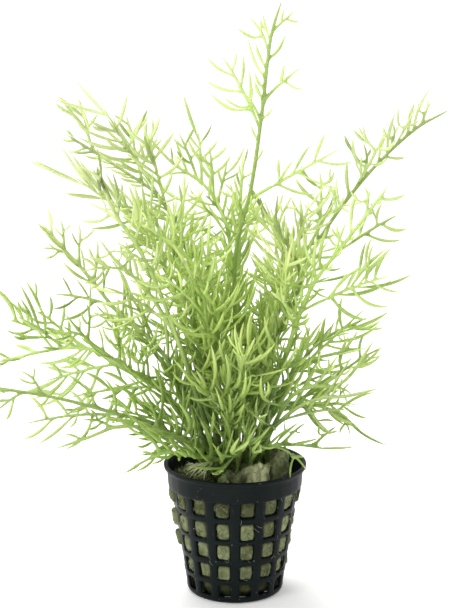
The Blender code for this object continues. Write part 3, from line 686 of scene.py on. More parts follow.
class Frond:
    """One frond: its spine as a curve, then its branches once every spine is placed."""

    def __init__(self, name, route, branches, face, seed):
        self.name = "frond_" + name
        self.habit = HABITS.get(name, Habit())
        self.route = [np.array(point, float) for point in route]
        self.branches = branches
        self.face = np.asarray(face, float)
        self.rng = random.Random(seed)
        self.limbs = []

    def place_spine(self, root, normal, space):
        """Take the depth, near the one drawn, that leaves the other spines most room."""
        best = None
        count = len(self.route)
        for depth, swing in product(DEPTHS, SWINGS):
            route = [root, root + unit(normal * STALK_LEAN + UP) * STALK_START]
            for index, point in enumerate(self.route):
                share = (index + 1) / count
                shift = (swing * share * (1 - share) * 4, depth * share, 0)
                route.append(point + np.array(shift))
            curve = Curve(smooth_curve(route))
            marks = np.linspace(0, curve.length, max(4, int(curve.length / 4)))
            path = np.array([curve.at(mark) for mark in marks])
            radii = STALK_RADIUS + (TIP_RADIUS - STALK_RADIUS) * marks / curve.length
            room = space.room(path, radii)
            if best is None or room > best[0]:
                best = (room, curve, path, radii)
            if room > STALK_GAP:
                break
        _, self.spine, path, radii = best
        space.add(path, radii)

    def spine_radius(self, mark):
        return STALK_RADIUS + (TIP_RADIUS - STALK_RADIUS) * mark / self.spine.length

    def frame(self, mark):
        tangent = self.spine.tangent(mark)
        up = across(self.face, tangent)
        return tangent, up, np.cross(tangent, up)

    def wanted_branches(self):
        """Where each branch leaves the spine and where its tip is, from the base up."""
        if isinstance(self.branches[0], tuple):
            return self.branches_to(self.branches)
        return self.even_branches(*self.branches)

    def even_branches(self, count, longest):
        """Branches spaced evenly on both sides, shorter towards the tip."""
        length = self.spine.length
        found = []
        for index in range(count):
            share = (index + 0.5) / count
            mark = length * (0.40 + 0.55 * share)
            tangent, up, side = self.frame(mark)
            reach = longest * (1.0 - 0.6 * share**1.4) * self.rng.uniform(0.85, 1.1)
            angle = math.radians(64 - 26 * share + self.rng.uniform(-7, 7))
            way = side * (1 if index % 2 else -1)
            heading = tangent * math.cos(angle) + way * math.sin(angle)
            heading += up * self.rng.uniform(-0.25, 0.3) + 0.15 * UP
            found.append((mark, self.spine.at(mark) + unit(heading) * reach))
        return found

    def branches_to(self, tips):
        """A branch to each tip, from where it leaves the spine nearest to the usual angle."""
        first, last = (share * self.spine.length for share in BRANCH_SPAN)
        found = []
        for number, (x, z) in enumerate(tips):
            lean = self.rng.uniform(*BRANCH_LEANS) * (1 if number % 2 else -1)
            best = None
            for mark in np.arange(first, last, 1.0):
                point = self.spine.at(mark)
                tip = np.array((x, point[1], z), float)
                tip[1] += lean * np.linalg.norm(tip - point)
                way = unit(tip - point)
                angle = math.acos(np.clip(np.dot(way, self.spine.tangent(mark)), -1, 1))
                miss = abs(angle - BRANCH_ANGLE)
                if best is None or miss < best[0]:
                    best = (miss, mark, tip)
            found.append(best[1:])
        return sorted(found, key=lambda pair: pair[0])

    def spaced(self, wanted):
        """The branches moved up the spine until they leave it well apart."""
        marks, last = [], FIRST_BRANCH
        for mark, tip in wanted:
            mark = max(mark, last + BRANCH_SPACING)
            if mark < self.spine.length - BARE_TIP:
                marks.append((mark, tip))
                last = mark
        return marks

    def branch(self, mark, tip, turn, stretch):
        """One branch with its lobes, turned about the spine and shortened as asked."""
        tangent, up, side = self.frame(mark)
        foot = self.spine.at(mark)
        reach = turned(tip - foot, tangent, turn) * stretch
        way = 1 if np.dot(reach, side) > 0 else -1
        start = foot + side * way * self.spine_radius(mark) * BRANCH_FOOT
        end = foot + reach
        length = np.linalg.norm(end - start)
        heading = unit(end - start)
        bow = across(tangent, heading) * length * BRANCH_BOW
        shares = [0.0]
        for place in self.lobe_places(length):
            shares += [place - LOBE_BASE / length, place + LOBE_BASE / length]
        shares += [0.5, 1.0] if len(shares) == 1 else [1.0]
        path = [start + (end - start) * s + bow * 4 * s * (1 - s) for s in shares]
        thick = BRANCH_RADIUS * min(1.15, 0.78 + length / 60)
        radii = [thick * (1 - BRANCH_TAPER * s) for s in shares]
        radii[-1] = POINT_RADIUS
        limb = Limb(path, radii, across(up, heading))
        limb.start, limb.end, limb.bow = start, end, bow
        return way, length, limb

    @staticmethod
    def lobe_places(length):
        """Shares of a branch's length where lobes leave it, more on a longer branch."""
        for longest, places in ((10.0, ()), (20.0, (0.42,)), (30.0, (0.34, 0.63))):
            if length < longest:
                return places
        return (0.27, 0.5, 0.73)

    def lobes_of(self, length, limb, space):
        """Lobes on both sides, each tilted or shortened to where it has room."""
        for number, share in enumerate(self.lobe_places(length)):
            segment = 1 + 2 * number
            heading = unit(limb.path[segment + 1] - limb.path[segment])
            up = across(limb.up, heading)
            side = np.cross(heading, up)
            middle = (limb.path[segment] + limb.path[segment + 1]) / 2
            for way in (1, -1):
                angle = LOBE_ANGLE + self.rng.uniform(-LOBE_SPREAD, LOBE_SPREAD)
                reach = length * (0.68 - 0.42 * share) * self.rng.uniform(0.85, 1.15)
                reach = min(LONGEST_LOBE, reach)
                flat = heading * math.cos(angle) + side * way * math.sin(angle)
                for tilt, stretch in product(LOBE_TILTS, LOBE_STRETCHES):
                    out = unit(flat + up * tilt + LOBE_RISE * UP)
                    if reach * stretch < SHORTEST_LOBE:
                        continue
                    ends = [middle + out * 0.8, middle + out * reach * stretch]
                    radii = np.array([BRANCH_RADIUS * 0.9, 0.25])
                    if space.room([ends[0] + out, ends[1]], radii) > CLEARANCE:
                        limb.children.append((segment, way, Limb(ends, radii, up)))
                        break

    def fitting_branch(self, mark, tip, space):
        """The branch turned or shortened to where it has room, or None."""
        for stretch, degrees in product(BRANCH_STRETCHES, BRANCH_TURNS):
            way, length, limb = self.branch(mark, tip, math.radians(degrees), stretch)
            if length < SHORTEST_BRANCH:
                continue
            clear = limb.path.copy()
            clear[0] += unit(clear[1] - clear[0]) * min(2.2, length * 0.3)
            if space.room(clear, limb.radii) > CLEARANCE:
                return way, length, limb
        return None

    def grow(self, space):
        """Place the branches that have room, with their lobes."""
        for mark, tip in self.spaced(self.wanted_branches()):
            fitted = self.fitting_branch(mark, tip, space)
            if fitted is None:
                continue
            way, length, limb = fitted
            self.lobes_of(length, limb, space)
            space.add(limb.path, limb.radii)
            for _, _, lobe in limb.children:
                space.add(lobe.path, lobe.radii)
            self.limbs.append((mark, way, limb))


def all_fronds():
    made = []
    for index, (name, (route, tips)) in enumerate(FRONDS.items()):
        made.append(Frond(name, route, tips, FRONT_FACE, 100 + index))
    for group, rows in RADIAL_FRONDS.items():
        for number, (degrees, reach, height, count, longest) in enumerate(rows, 1):
            turn = math.radians(degrees)
            way = np.array((math.cos(turn), math.sin(turn), 0))
            rise = height - CROWN_CENTRE[2]
            route = []
            for out, up in ((0.28, 0.45), (0.62, 0.84), (1.0, 1.0)):
                route.append(way * reach * out + UP * (CROWN_CENTRE[2] + rise * up))
            seed = 200 + 20 * len(made) + number
            made.append(Frond(f"{group}_{number}", route, (count, longest), OPEN_FACE, seed))
    return made


def crown_slots(count):
    """Places on the crown where the stalks rise, in a sunflower's spiral."""
    golden = math.pi * (3 - math.sqrt(5))
    return [(CROWN_USED * math.sqrt((k + 0.5) / count), k * golden) for k in range(count)]


def shared_out(fronds, slots):
    """Each frond's place on the crown, swapped in pairs until all rise the way they lean."""
    centre = np.array(CROWN_CENTRE)
    wanted = []
    for frond in fronds:
        lean = frond.route[0] - centre
        wanted.append(lean[:2] / np.linalg.norm(lean) * STALK_REACH)
    places = [crown_point(*slot)[0][:2] - centre[:2] for slot in slots]
    miss = [[((place - want) ** 2).sum() for place in places] for want in wanted]
    order = list(range(len(slots)))
    for _ in range(SWAP_ROUNDS):
        for a in range(len(order)):
            for b in range(a + 1, len(order)):
                now = miss[a][order[a]] + miss[b][order[b]]
                if miss[a][order[b]] + miss[b][order[a]] < now - 1e-6:
                    order[a], order[b] = order[b], order[a]
    return [slots[index] for index in order]


def solids_in_the_way(space):
    """The pot's rim, the torn top of the wool and the roots, as capsules."""
    turns = [2 * math.pi * k / RIM_AROUND for k in range(RIM_AROUND + 1)]
    radius, height = RIM_MIDDLE
    rim = [(radius * math.cos(turn), radius * math.sin(turn), height) for turn in turns]
    space.add(rim, np.full(len(rim), RIM_HALF))
    tops, peaks = torn_edge()
    wool = []
    for angle, top, peak in zip(wool_angles(), tops, peaks):
        radius = (peak + HOLLOW_RADIUS + 1.2) / 2
        wool.append((radius * math.cos(angle), radius * math.sin(angle), top - TORN_DEPTH))
    space.add(wool + wool[:1], np.full(len(wool) + 1, TORN_HALF))
    ends = np.array(CLUMP_CENTRE) + np.array(CLUMP_ENDS)
    space.add(ends, np.full(2, CLUMP_SIZE[2] + CLUMP_MARGIN))


# Fine form of the fronds


class Shoot(Limb):
    """A limb as it is drawn: also how flat it is, and how far each point is towards a tip."""

    def __init__(self, path, radii, up, ages, flat, tone):
        super().__init__(path, radii, up)
        self.ages = np.asarray(ages, float)
        self.flat = flat
        self.tone = tone


def assembled(place, thick, length, age, forks, even, half, up, flat, tone):
    """A shoot with a pair of rings round each fork, and others spaced evenly between."""
    half = half / length
    places = {share for share, _, _ in forks}
    shares = {0.0, 1.0}
    for share in places:
        shares |= {share - half, share + half}
    for share in np.linspace(0, 1, even)[1:-1]:
        if all(abs(share - other) > 2 * half for other in places):
            shares.add(float(share))
    shares = sorted(shares)
    shoot = Shoot(
        [place(share) for share in shares],
        [thick(share) for share in shares],
        up,
        [age(share) for share in shares],
        flat,
        tone,
    )
    for share, way, child in forks:
        shoot.children.append((shares.index(share - half), way, child))
    return shoot


def paired(limbs, nearest, furthest):
    """Limbs moved apart along their stem; two on opposite sides may leave it together."""
    found, last, sides = [], -nearest, set()
    for place, way, limb in sorted(limbs, key=lambda item: item[0]):
        if place - last < nearest:
            if way not in sides:
                place = last
            else:
                place = last + nearest
        if place > last:
            sides = set()
        if place < furthest:
            found.append((place, way, limb))
            sides.add(way)
            last = place
    return found


def bent(start, tip, outward):
    """A curve that leaves the start outward and turns in towards the tip."""
    control = (start + tip) / 2 + outward
    return lambda s: (1 - s) ** 2 * start + 2 * s * (1 - s) * control + s * s * tip


def heading_at(place, share):
    """Which way a limb runs at this share of its length."""
    return unit(place(share + 0.02) - place(share - 0.02))


def lobe_thickness(radius, length):
    """Narrow where it leaves, widest before the middle, drawn out to a point."""
    radius = radius * min(1.0, 0.55 + length / 30)
    return lambda share: radius * float(np.interp(share, LOBE_SHARES, LOBE_WIDTHS))


def lobe_shoot(start, tip, heading, up, age, radius, rng, bow, forked=None):
    """One lobe from a point inside its branch; forked is the space to test small forks in."""
    start, tip = np.asarray(start, float), np.asarray(tip, float)
    length = float(np.linalg.norm(tip - start))
    way = unit(tip - start)
    outward = across(-heading, way) * length * bow * rng.uniform(0.1, 0.3)
    outward = outward + np.array((0, 0, -length * rng.uniform(0.0, 0.16)))
    outward = outward + up * length * rng.uniform(-0.1, 0.1)
    place = bent(start, tip, outward)
    tone = rng.random()
    face = unit(up + np.cross(way, up) * rng.uniform(-0.7, 0.7))
    forks = []
    shares = FORK_SHARES if forked is not None and length > FORK_FROM else ()
    for share in shares:
        if rng.random() > FORK_CHANCE:
            continue
        side_way = 1 if rng.random() < 0.5 else -1
        foot = place(share)
        along = unit(place(share + 0.05) - foot)
        side = np.cross(along, across(face, along))
        angle = rng.uniform(*FORK_ANGLES)
        reach = length * (0.72 - 0.42 * share) * rng.uniform(0.8, 1.15)
        out = unit(along * math.cos(angle) + side * side_way * math.sin(angle) + RISE)
        end = foot + out * reach
        if reach < SHORTEST_FORK or within(end, CLEARINGS):
            continue
        if forked.free([foot + out * 1.4, end], FORK_RADII, FORK_GAP):
            forked.add([foot + out, end], FORK_RADII)
            child_age = age + (1 - age) * share
            child = lobe_shoot(foot + out * 0.3, end, along, face, child_age, radius, rng, bow)
            forks.append((share, side_way, child))
    return assembled(
        place,
        lobe_thickness(radius * rng.uniform(0.78, 1.15), length),
        length,
        lambda s: age + (1 - age) * s**1.3,
        forks,
        6 if length > 5 else 5,
        LOBE_HALF,
        face,
        LOBE_FLAT,
        tone,
    )


def leafy_branch(frond, mark, limb, space, rng):
    """A branch with the CAD's own lobes, others between them, and forks on the long ones."""
    start, end = limb.start, limb.end
    length = float(np.linalg.norm(end - start))
    base_age = 0.12 + 0.4 * mark / frond.spine.length
    thickest = float(limb.radii[0]) * 0.92
    sway = across(limb.up, unit(end - start)) * length * rng.uniform(-0.05, 0.05)
    bow = frond.habit.bow

    def line(arch):
        return lambda s: start + (end - start) * s + (arch + sway) * 4 * s * (1 - s)

    def age(s):
        return base_age + (1.0 - base_age) * s**1.5 * 0.9

    place = line(limb.bow)
    found = []
    places = Frond.lobe_places(length)
    for segment, side_way, lobe in limb.children:
        share = places[(segment - 1) // 2] + side_way * 0.95 / length
        found.append((share, side_way, lobe.path[-1]))
    if not frond.habit.simple:
        found += added_lobes(frond, mark, limb, place, found, space, rng)
    forks = []
    for share, side_way, tip in paired(found, NEXT_LOBE / length, 1 - 0.8 / length):
        heading, foot = heading_at(place, share), place(share)
        radius = LOBE_RADIUS * frond.habit.girth
        child = lobe_shoot(foot, tip, heading, limb.up, age(share), radius, rng, bow, space)
        forks.append((share, side_way, child))
        # The first lobe leaves the CAD's own line; the rest of the branch is drawn a little off it.
        place = line(bow)
    return assembled(
        place,
        lambda s: max(thickest * (1 - 0.45 * s) * min(1.0, (1.06 - s) * 5), POINT_RADIUS),
        length,
        age,
        forks,
        max(5, int(length / 3.2)),
        BRANCH_HALF,
        limb.up,
        BRANCH_FLAT,
        rng.random(),
    )


def added_lobes(frond, mark, limb, place, held, space, rng):
    """Lobes in the gaps that the CAD's own lobes leave along a branch."""
    length = float(np.linalg.norm(limb.end - limb.start))
    rise = rise_at(frond, mark)
    inner = innerness(limb.start)
    gap = LOBE_SPACING * sparseness(frond, max(mark, BARE_UPTO * frond.spine.length)) / length
    found = []
    for side_way in (1, -1):
        share = rng.uniform(0.26, 0.42) - 0.2 * inner
        while share < 1 - 1.6 / length:
            near = [other for other, way, _ in held + found if way == side_way]
            tip = None
            if all(abs(share - other) > 1.4 / length for other in near):
                tip = free_lobe(place, share, side_way, limb.up, length, rise, space, rng)
            if tip is None:
                share += 0.35 * gap
            else:
                found.append((share, side_way, tip))
                share += gap * rng.choice(UNEVEN)
    return found


def free_lobe(place, share, side_way, up, length, rise, space, rng):
    """The tip of an added lobe that has room, or None."""
    foot = place(share)
    heading = heading_at(place, share)
    face = across(up, heading)
    side = np.cross(heading, face)
    angle = LOBE_ANGLE * rng.uniform(0.4, 0.95) * (1.1 - 0.35 * share)
    reach = (8.5 + length * (0.62 - 0.4 * share)) * rng.uniform(0.6, 1.4)
    reach = min(LONGEST_ADDED, reach)
    flat = heading * math.cos(angle) + side * side_way * math.sin(angle)
    for tilt in ADDED_TILTS:
        way = unit(flat + face * (tilt + rng.uniform(-0.08, 0.08)) + rise)
        for stretch in ADDED_STRETCHES:
            tip = foot + way * reach * stretch
            if reach * stretch < SHORTEST_ADDED or not inside(tip) or within(tip, CLEARINGS):
                continue
            if space.free([foot + way * 1.5, tip], ADDED_RADII, ADDED_GAP):
                space.add([foot + way, tip], ADDED_RADII)
                return tip
    return None


def sparseness(frond, mark):
    """How much wider than usual the gaps between limbs are here: wider far from the middle."""
    point = frond.spine.at(mark)
    out = (math.hypot(point[0], point[1]) - LEAFY_RADIUS) / (BARE_RADIUS - LEAFY_RADIUS)
    leafiness = frond.habit.leafiness
    if frond.habit.bare and mark < BARE_UPTO * frond.spine.length:
        leafiness *= BARE_SHARE + (1 - BARE_SHARE) * innerness(point)
    if within(point, TUFTS):
        leafiness *= 1.0 + TUFT_GAIN
    return (1.0 + BARE_SPARSENESS * clamped(out)) / leafiness


def rise_at(frond, mark):
    """Which way added limbs turn: up, or to the left in the brush that ends one frond."""
    if frond.name == BRUSH_FROND and mark > BRUSH_FROM * frond.spine.length:
        return BRUSH_RISE
    return RISE


def from_front(point):
    """Where the line from the camera through a point crosses the plane y = 0, as (x, z)."""
    eye = 1000.0 * np.array(CAMERA_PLACE)
    place = eye + (np.asarray(point, float) - eye) * eye[1] / (eye[1] - point[1])
    return place[0], place[2]


def within(point, discs):
    """Whether a point lies in one of the discs seen from the front."""
    x, z = from_front(point)
    return any(math.hypot(x - disc[0], z - disc[1]) < disc[2] for disc in discs)


def innerness(point):
    """How deep in the crowded lower middle a place is, from 0 to 1."""
    out = 1.0 - (math.hypot(point[0], point[1]) - INNER_RADIUS) / INNER_FADE
    low = 1.0 - (point[2] - INNER_TOP) / INNER_TOP_FADE
    return clamped(out) * clamped(low)


def clamped(value):
    """The value, held between 0 and 1."""
    return min(1.0, max(0.0, value))


def inside(point):
    """Whether a tip stays in the box of the CAD model."""
    low, high = CAD_BOX
    return all(low[k] + 0.4 < point[k] < high[k] - 0.4 for k in range(3))


def added_branches(frond, space, rng):
    """Small branches in the gaps that the CAD's own branches leave along the spine."""
    length = frond.spine.length
    found = []
    for way in (1, -1):
        if frond.name == ONE_SIDED and frond.frame(length / 2)[2][2] * way < 0:
            continue
        taken = [mark for mark, other, _ in frond.limbs if other == way]
        mark = FIRST_ADDED
        while mark < length - ADDED_END:
            inner = innerness(frond.spine.at(mark))
            gap = ADDED_SPACING * sparseness(frond, mark) * (1 - INNER_CROWDING * inner)
            mark += gap * rng.choice(UNEVEN)
            if mark > length - ADDED_END or any(abs(mark - other) < NEXT_BRANCH for other in taken):
                continue
            plain = frond.habit.simple or rng.random() < 0.25 + 0.35 * inner
            limb = added_branch(frond, mark, way, plain, inner, space, rng)
            if limb is not None:
                found.append((mark, way, limb))
                taken.append(mark)
    return found


def added_branch(frond, mark, way, plain, inner, space, rng):
    """One small branch or long plain lobe where there is room, or None."""
    share = mark / frond.spine.length
    tangent, up, side = frond.frame(mark)
    foot = frond.spine.at(mark)
    attempts = ATTEMPTS + round(INNER_ATTEMPTS * inner)
    for attempt in range(attempts):
        angle = math.radians(rng.uniform(30 - 20 * inner, 58 - 18 * inner) - 12 * share)
        reach = (21.0 - 6.0 * share + 7.0 * inner) if plain else (18.0 - 11.0 * share)
        reach *= rng.uniform(0.7, 1.2) * (1.0 - 0.52 * attempt / attempts)
        lean = rng.uniform(*ADDED_LEANS)
        rise = rise_at(frond, mark)
        out = unit(tangent * math.cos(angle) + side * way * math.sin(angle) + up * lean + rise)
        end = foot + out * reach
        lowest = MOUTH_LOW if math.hypot(end[0], end[1]) < HOLLOW_RADIUS else OUTSIDE_LOW
        if not inside(end) or end[2] < lowest or within(end, CLEARINGS):
            continue
        if space.free([foot + out * 2.2, end], BRANCH_RADII, 0.15 - 0.15 * inner):
            space.add([foot + out, end], BRANCH_RADII)
            start = foot + side * way * frond.spine_radius(mark) * BRANCH_FOOT
            radii = [BRANCH_RADIUS * 0.8, POINT_RADIUS]
            limb = Limb([start, end], radii, across(up, unit(end - start)))
            limb.start, limb.end, limb.plain = start, end, plain
            limb.bow = across(tangent, unit(end - start)) * reach * -0.08
            return limb
    return None


def drawn(frond, space, number):
    """The whole frond as shoots: spine, branches, lobes and small forks."""
    rng = random.Random(500 + number)
    length = frond.spine.length
    slender = min(1.0, 0.4 + length / 110)
    habit = frond.habit
    forks = []
    branches = frond.limbs + added_branches(frond, space, rng)
    for mark, way, limb in paired(branches, BRANCH_PAIRING, length - 1.2):
        short = np.linalg.norm(limb.end - limb.start) < PLAIN_BELOW
        if not limb.children and (habit.simple or short or limb.plain):
            tangent = frond.spine.tangent(mark)
            age = 0.2 + 0.5 * mark / length
            radius = LOBE_RADIUS + (STRAP_RADIUS - LOBE_RADIUS) * innerness(limb.start)
            radius *= habit.girth
            start, end, up = limb.start, limb.end, limb.up
            child = lobe_shoot(start, end, tangent, up, age, radius, rng, habit.bow, space)
        else:
            child = leafy_branch(frond, mark, limb, space, rng)
        forks.append((mark / length, way, child))
    return assembled(
        lambda s: frond.spine.at(s * length),
        lambda s: frond.spine_radius(s * length) * slender * min(1.0, 0.12 + (1 - s) * length / 6),
        length,
        lambda s: 0.5 * s**1.2 + 0.45 * max(0.0, s - 0.75) * 4 * 0.5,
        forks,
        int(length / 4),
        STALK_HALF,
        frond.face,
        STALK_FLAT,
        rng.random(),
    )


# Skin of the fronds


def blemished(point):
    """Whether a point lies in one of the few brown spots."""
    return any(np.linalg.norm(point - np.array(middle)) < size for middle, size in BLEMISHES)


def corners(bm, layers, shoot, index):
    """Four corners of a ring, keyed by which side of the limb's face and edge they are on."""
    tangent = shoot.tangent(index)
    up = across(shoot.up, tangent)
    side = np.cross(tangent, up)
    r = shoot.radii[index] * CAGE
    found = {}
    for u in (1, -1):
        for s in (1, -1):
            vert = bm.verts.new(shoot.path[index] + up * (u * r * shoot.flat) + side * (s * r))
            vert[layers[0]] = shoot.ages[index]
            vert[layers[1]] = 2.0 if blemished(shoot.path[index]) else shoot.tone
            vert[layers[2]] = float(s)
            found[u, s] = vert
    return found


def join(bm, low, high, skip=()):
    """Four faces between two rings, apart from the sides in skip."""
    for a, b in zip(RING, RING[1:] + RING[:1]):
        side = a[1] if a[1] == b[1] else 0
        if side == 0 or side not in skip:
            bm.faces.new((low[a], low[b], high[b], high[a]))


def skin(bm, layers, shoot, hole=None):
    """Draw a shoot as a tube on a four-cornered cage; a child starts at a hole in its parent."""
    forks = {}
    for segment, way, child in shoot.children:
        forks[segment, way] = child
    if hole is None:
        below = corners(bm, layers, shoot, 0)
        bm.faces.new([below[key] for key in RING])
    else:
        # The hole has a near and a far edge; the ring's side that looks ahead takes the far one.
        tangent = shoot.tangent(1)
        side = np.cross(tangent, across(shoot.up, tangent))
        near, far, way = hole
        ahead = 1 if np.dot(side, np.array(far[1, way].co - near[1, way].co)) > 0 else -1
        below = {
            (1, ahead): far[1, way],
            (-1, ahead): far[-1, way],
            (1, -ahead): near[1, way],
            (-1, -ahead): near[-1, way],
        }
    for index in range(1, len(shoot.path)):
        above = corners(bm, layers, shoot, index)
        open_sides = [way for way in (1, -1) if (index - 1, way) in forks]
        join(bm, below, above, open_sides)
        for way in open_sides:
            skin(bm, layers, forks[index - 1, way], (below, above, way))
        below = above
    bm.faces.new([below[key] for key in RING])


def make_frond(frond, look, space, number):
    bm = bmesh.new()
    layers = [bm.verts.layers.float.new(name) for name in ("age", "tone", "side")]
    skin(bm, layers, drawn(frond, space, number))
    piece = add_piece(frond.name + "_leaf", bm, look, 1)
    tint = piece.data.attributes.new("tint", "FLOAT", "POINT")
    value = random.Random(900 + number).random()
    tint.data.foreach_set("value", np.full(len(piece.data.vertices), value, np.float32))
    settle(piece, frond.name)


# The pot


def open_spans(edges, inset):
    """Lines across windows and bars: each window as edge, line inside, line inside, edge."""
    lines, windows = [], []
    for number, (low, high) in enumerate(edges):
        if number:
            lines.append((edges[number - 1][1] + low) / 2)
        first = len(lines)
        lines += [low, low + inset, high - inset, high]
        windows.append(range(first, first + 3))
    return lines, {band for window in windows for band in window}


def round_lines():
    """Grid lines round the pot in radians, and which gaps between them are windows."""
    pitch = 360.0 / COLUMNS
    half = WINDOW_DEGREES / 2
    lines, gaps = [], set()
    for column in range(COLUMNS):
        bar = -90.0 + column * pitch
        middle = bar + pitch / 2
        first = len(lines)
        lines += [bar, middle - half, middle - half + CORNER_DEGREES]
        lines += [middle + half - CORNER_DEGREES, middle + half]
        gaps |= {first + 1, first + 2, first + 3}
    return [math.radians(line) for line in lines], gaps


def pot_profile():
    """Outer and inner points (radius, height) from the base up, and which bands are open."""
    low, high = SLOT_RADII
    slot = (low, low + 1.0, high - 1.0, high)
    outer = [(r, 0.0) for r in slot] + list(OUTER_FOOT)
    inner = [(r, FLOOR) for r in slot] + list(INNER_FOOT)
    rows, gaps = open_spans(WINDOW_ROWS, CORNER)
    open_bands = {0, 1, 2} | {band + len(outer) for band in gaps}
    outer += [(wall_radius(z), z) for z in rows]
    inner += [(wall_radius(z) - WALL, z) for z in rows]
    return outer, inner, open_bands


def make_pot(look):
    bm = bmesh.new()
    angles, gaps = round_lines()
    outer, inner, open_bands = pot_profile()
    outside = [ring_of(bm, angles, r, z) for r, z in outer]
    lining = [ring_of(bm, angles, r, z) for r, z in inner]
    count = len(angles)

    def is_open(band, gap):
        return band in open_bands and gap % count in gaps

    for band, j in product(range(len(outer) - 1), range(count)):
        k = (j + 1) % count
        if not is_open(band, j):
            for rings in (outside, lining):
                bm.faces.new((rings[band][j], rings[band][k], rings[band + 1][k], rings[band + 1][j]))
            continue
        sides = (
            (band - 1, j, (band, j), (band, k)),
            (band + 1, j, (band + 1, k), (band + 1, j)),
            (band, j - 1, (band + 1, j), (band, j)),
            (band, j + 1, (band, k), (band + 1, k)),
        )
        for next_band, next_gap, (a, i), (b, m) in sides:
            if not is_open(next_band, next_gap):
                bm.faces.new((outside[a][i], outside[b][m], lining[b][m], lining[a][i]))
    for rings in (outside, lining):
        hub = ring_of(bm, angles, HUB_RADIUS, rings[0][0].co.z)
        join_rings(bm, hub, rings[0])
        bm.faces.new(hub)
    below = outside[-1]
    for r, z in RIM:
        above = ring_of(bm, angles, r, z)
        join_rings(bm, below, above)
        below = above
    join_rings(bm, below, lining[-1])
    piece = add_piece("pot_basket", bm, look, 1)
    settle(piece, "net_pot")


# Rockwool


def wool_bulge(angle, z):
    """How full a window is at this place, from 0 behind the bars to 1 in its middle."""
    turn = (angle + math.pi / 2) / (2 * math.pi / COLUMNS)
    column = math.floor(turn) % COLUMNS
    across_window = (turn - math.floor(turn) - 0.5) * 360 / COLUMNS / (WINDOW_DEGREES / 2)
    for row, (low, high) in enumerate(WINDOW_ROWS):
        if low - WINDOW_MARGIN < z < high + WINDOW_MARGIN:
            up_window = (z - (low + high) / 2) / ((high - low) / 2)
            edge = (abs(across_window) ** 6 + abs(up_window) ** 6) ** (1 / 6)
            return eased(clamped((1.07 - edge) / 0.24)), *WINDOWS[row, column]
    return 0.0, 0.0, 0.3


def window_wool():
    """How far the wool fills each window, low in the bottom row and high at the left, and its tone and
    painted light value there: random from window to window, lifted by painted light at the front right,
    and lower in the top row's front windows.
    """
    rng = random.Random(7)
    last = len(WINDOW_ROWS) - 1
    found = {}
    for row, column in product(range(last + 1), range(COLUMNS)):
        middle = -90 + (column + 0.5) * 360 / COLUMNS
        amount = rng.uniform(0.35, 1.0) if row else rng.uniform(-0.3, 0.2)
        if row >= 2 and abs(middle - 180) < 30:
            amount = rng.uniform(1.5, 2.0)
        if row == last and abs(middle) < 30:
            amount = 1.5
        clean = 0.3 + rng.uniform(-0.14, 0.14)
        # Painted light: the front right windows are made lighter
        clean += 0.3 * (abs(middle + 30) < 20)
        if row == last and abs(middle + 90) < 20:
            clean -= 0.15
        found[row, column] = amount, clean
    return found


def eased(share):
    """A share that starts and ends slowly."""
    return share * share * (3 - 2 * share)


def ringed(values, angle):
    """A value at this angle, read between the wool's own corner points."""
    count = len(values)
    place = (angle + math.pi / 2) / (2 * math.pi) * count
    low = math.floor(place)
    share = eased(place - low)
    return values[low % count] * (1 - share) + values[(low + 1) % count] * share


def rough(point, scale, seed=0.0):
    return noise.noise(Vector((point[0] * scale + seed, point[1] * scale, point[2] * scale)))


def lumps(point, layers):
    """Noise at several sizes; each layer is its height, its scale and its seed."""
    return sum(size * rough(point, scale, seed) for size, scale, seed in layers)


def wool_outline(angle, step, top, peak, edge):
    """Radius, height, depth and tone and painted light value of the smooth form; depth is painted
    shade, dark behind the bars and where a window is nearly empty, low just above the windows and
    rising to the torn top, and falling away down into the hollow. Step by step it goes up behind the
    windows, up to the torn top, over it, and down into the hollow.
    """
    if step <= 1.0:
        z = FLOOR + WOOL_START + step * (WOOL_BRIM - FLOOR - WOOL_START)
        shape, amount, clean = wool_bulge(angle, z)
        foot = min(1.0, z / FOOT_HEIGHT)
        recess = RECESS * (1.0 - 0.45 * foot**4)
        radius = (wall_radius(z) - WALL - recess) * (0.93 + 0.07 * foot * foot)
        radius += (recess + PILLOW * amount) * shape * min(1.0, 0.35 + amount)
        return radius, z, shape * min(1.0, max(0.0, amount) * 1.6), clean
    if step <= 2.0:
        share = step - 1.0
        radius = wall_radius(WOOL_BRIM) - WALL - RECESS * 0.4
        radius = radius + share**0.7 * (peak - radius)
        return radius, WOOL_BRIM + share * (top - WOOL_BRIM), 0.4 + 0.6 * share, DULL
    if step <= 3.0:
        share = step - 2.0
        return peak + share * (HOLLOW_LIP - peak), top + share * (edge - top), 1.0, DULL
    share = step - 3.0
    return HOLLOW_LIP - 1.2 * share, edge + share * (HOLLOW_FLOOR - edge), 1.0 - share, DULL


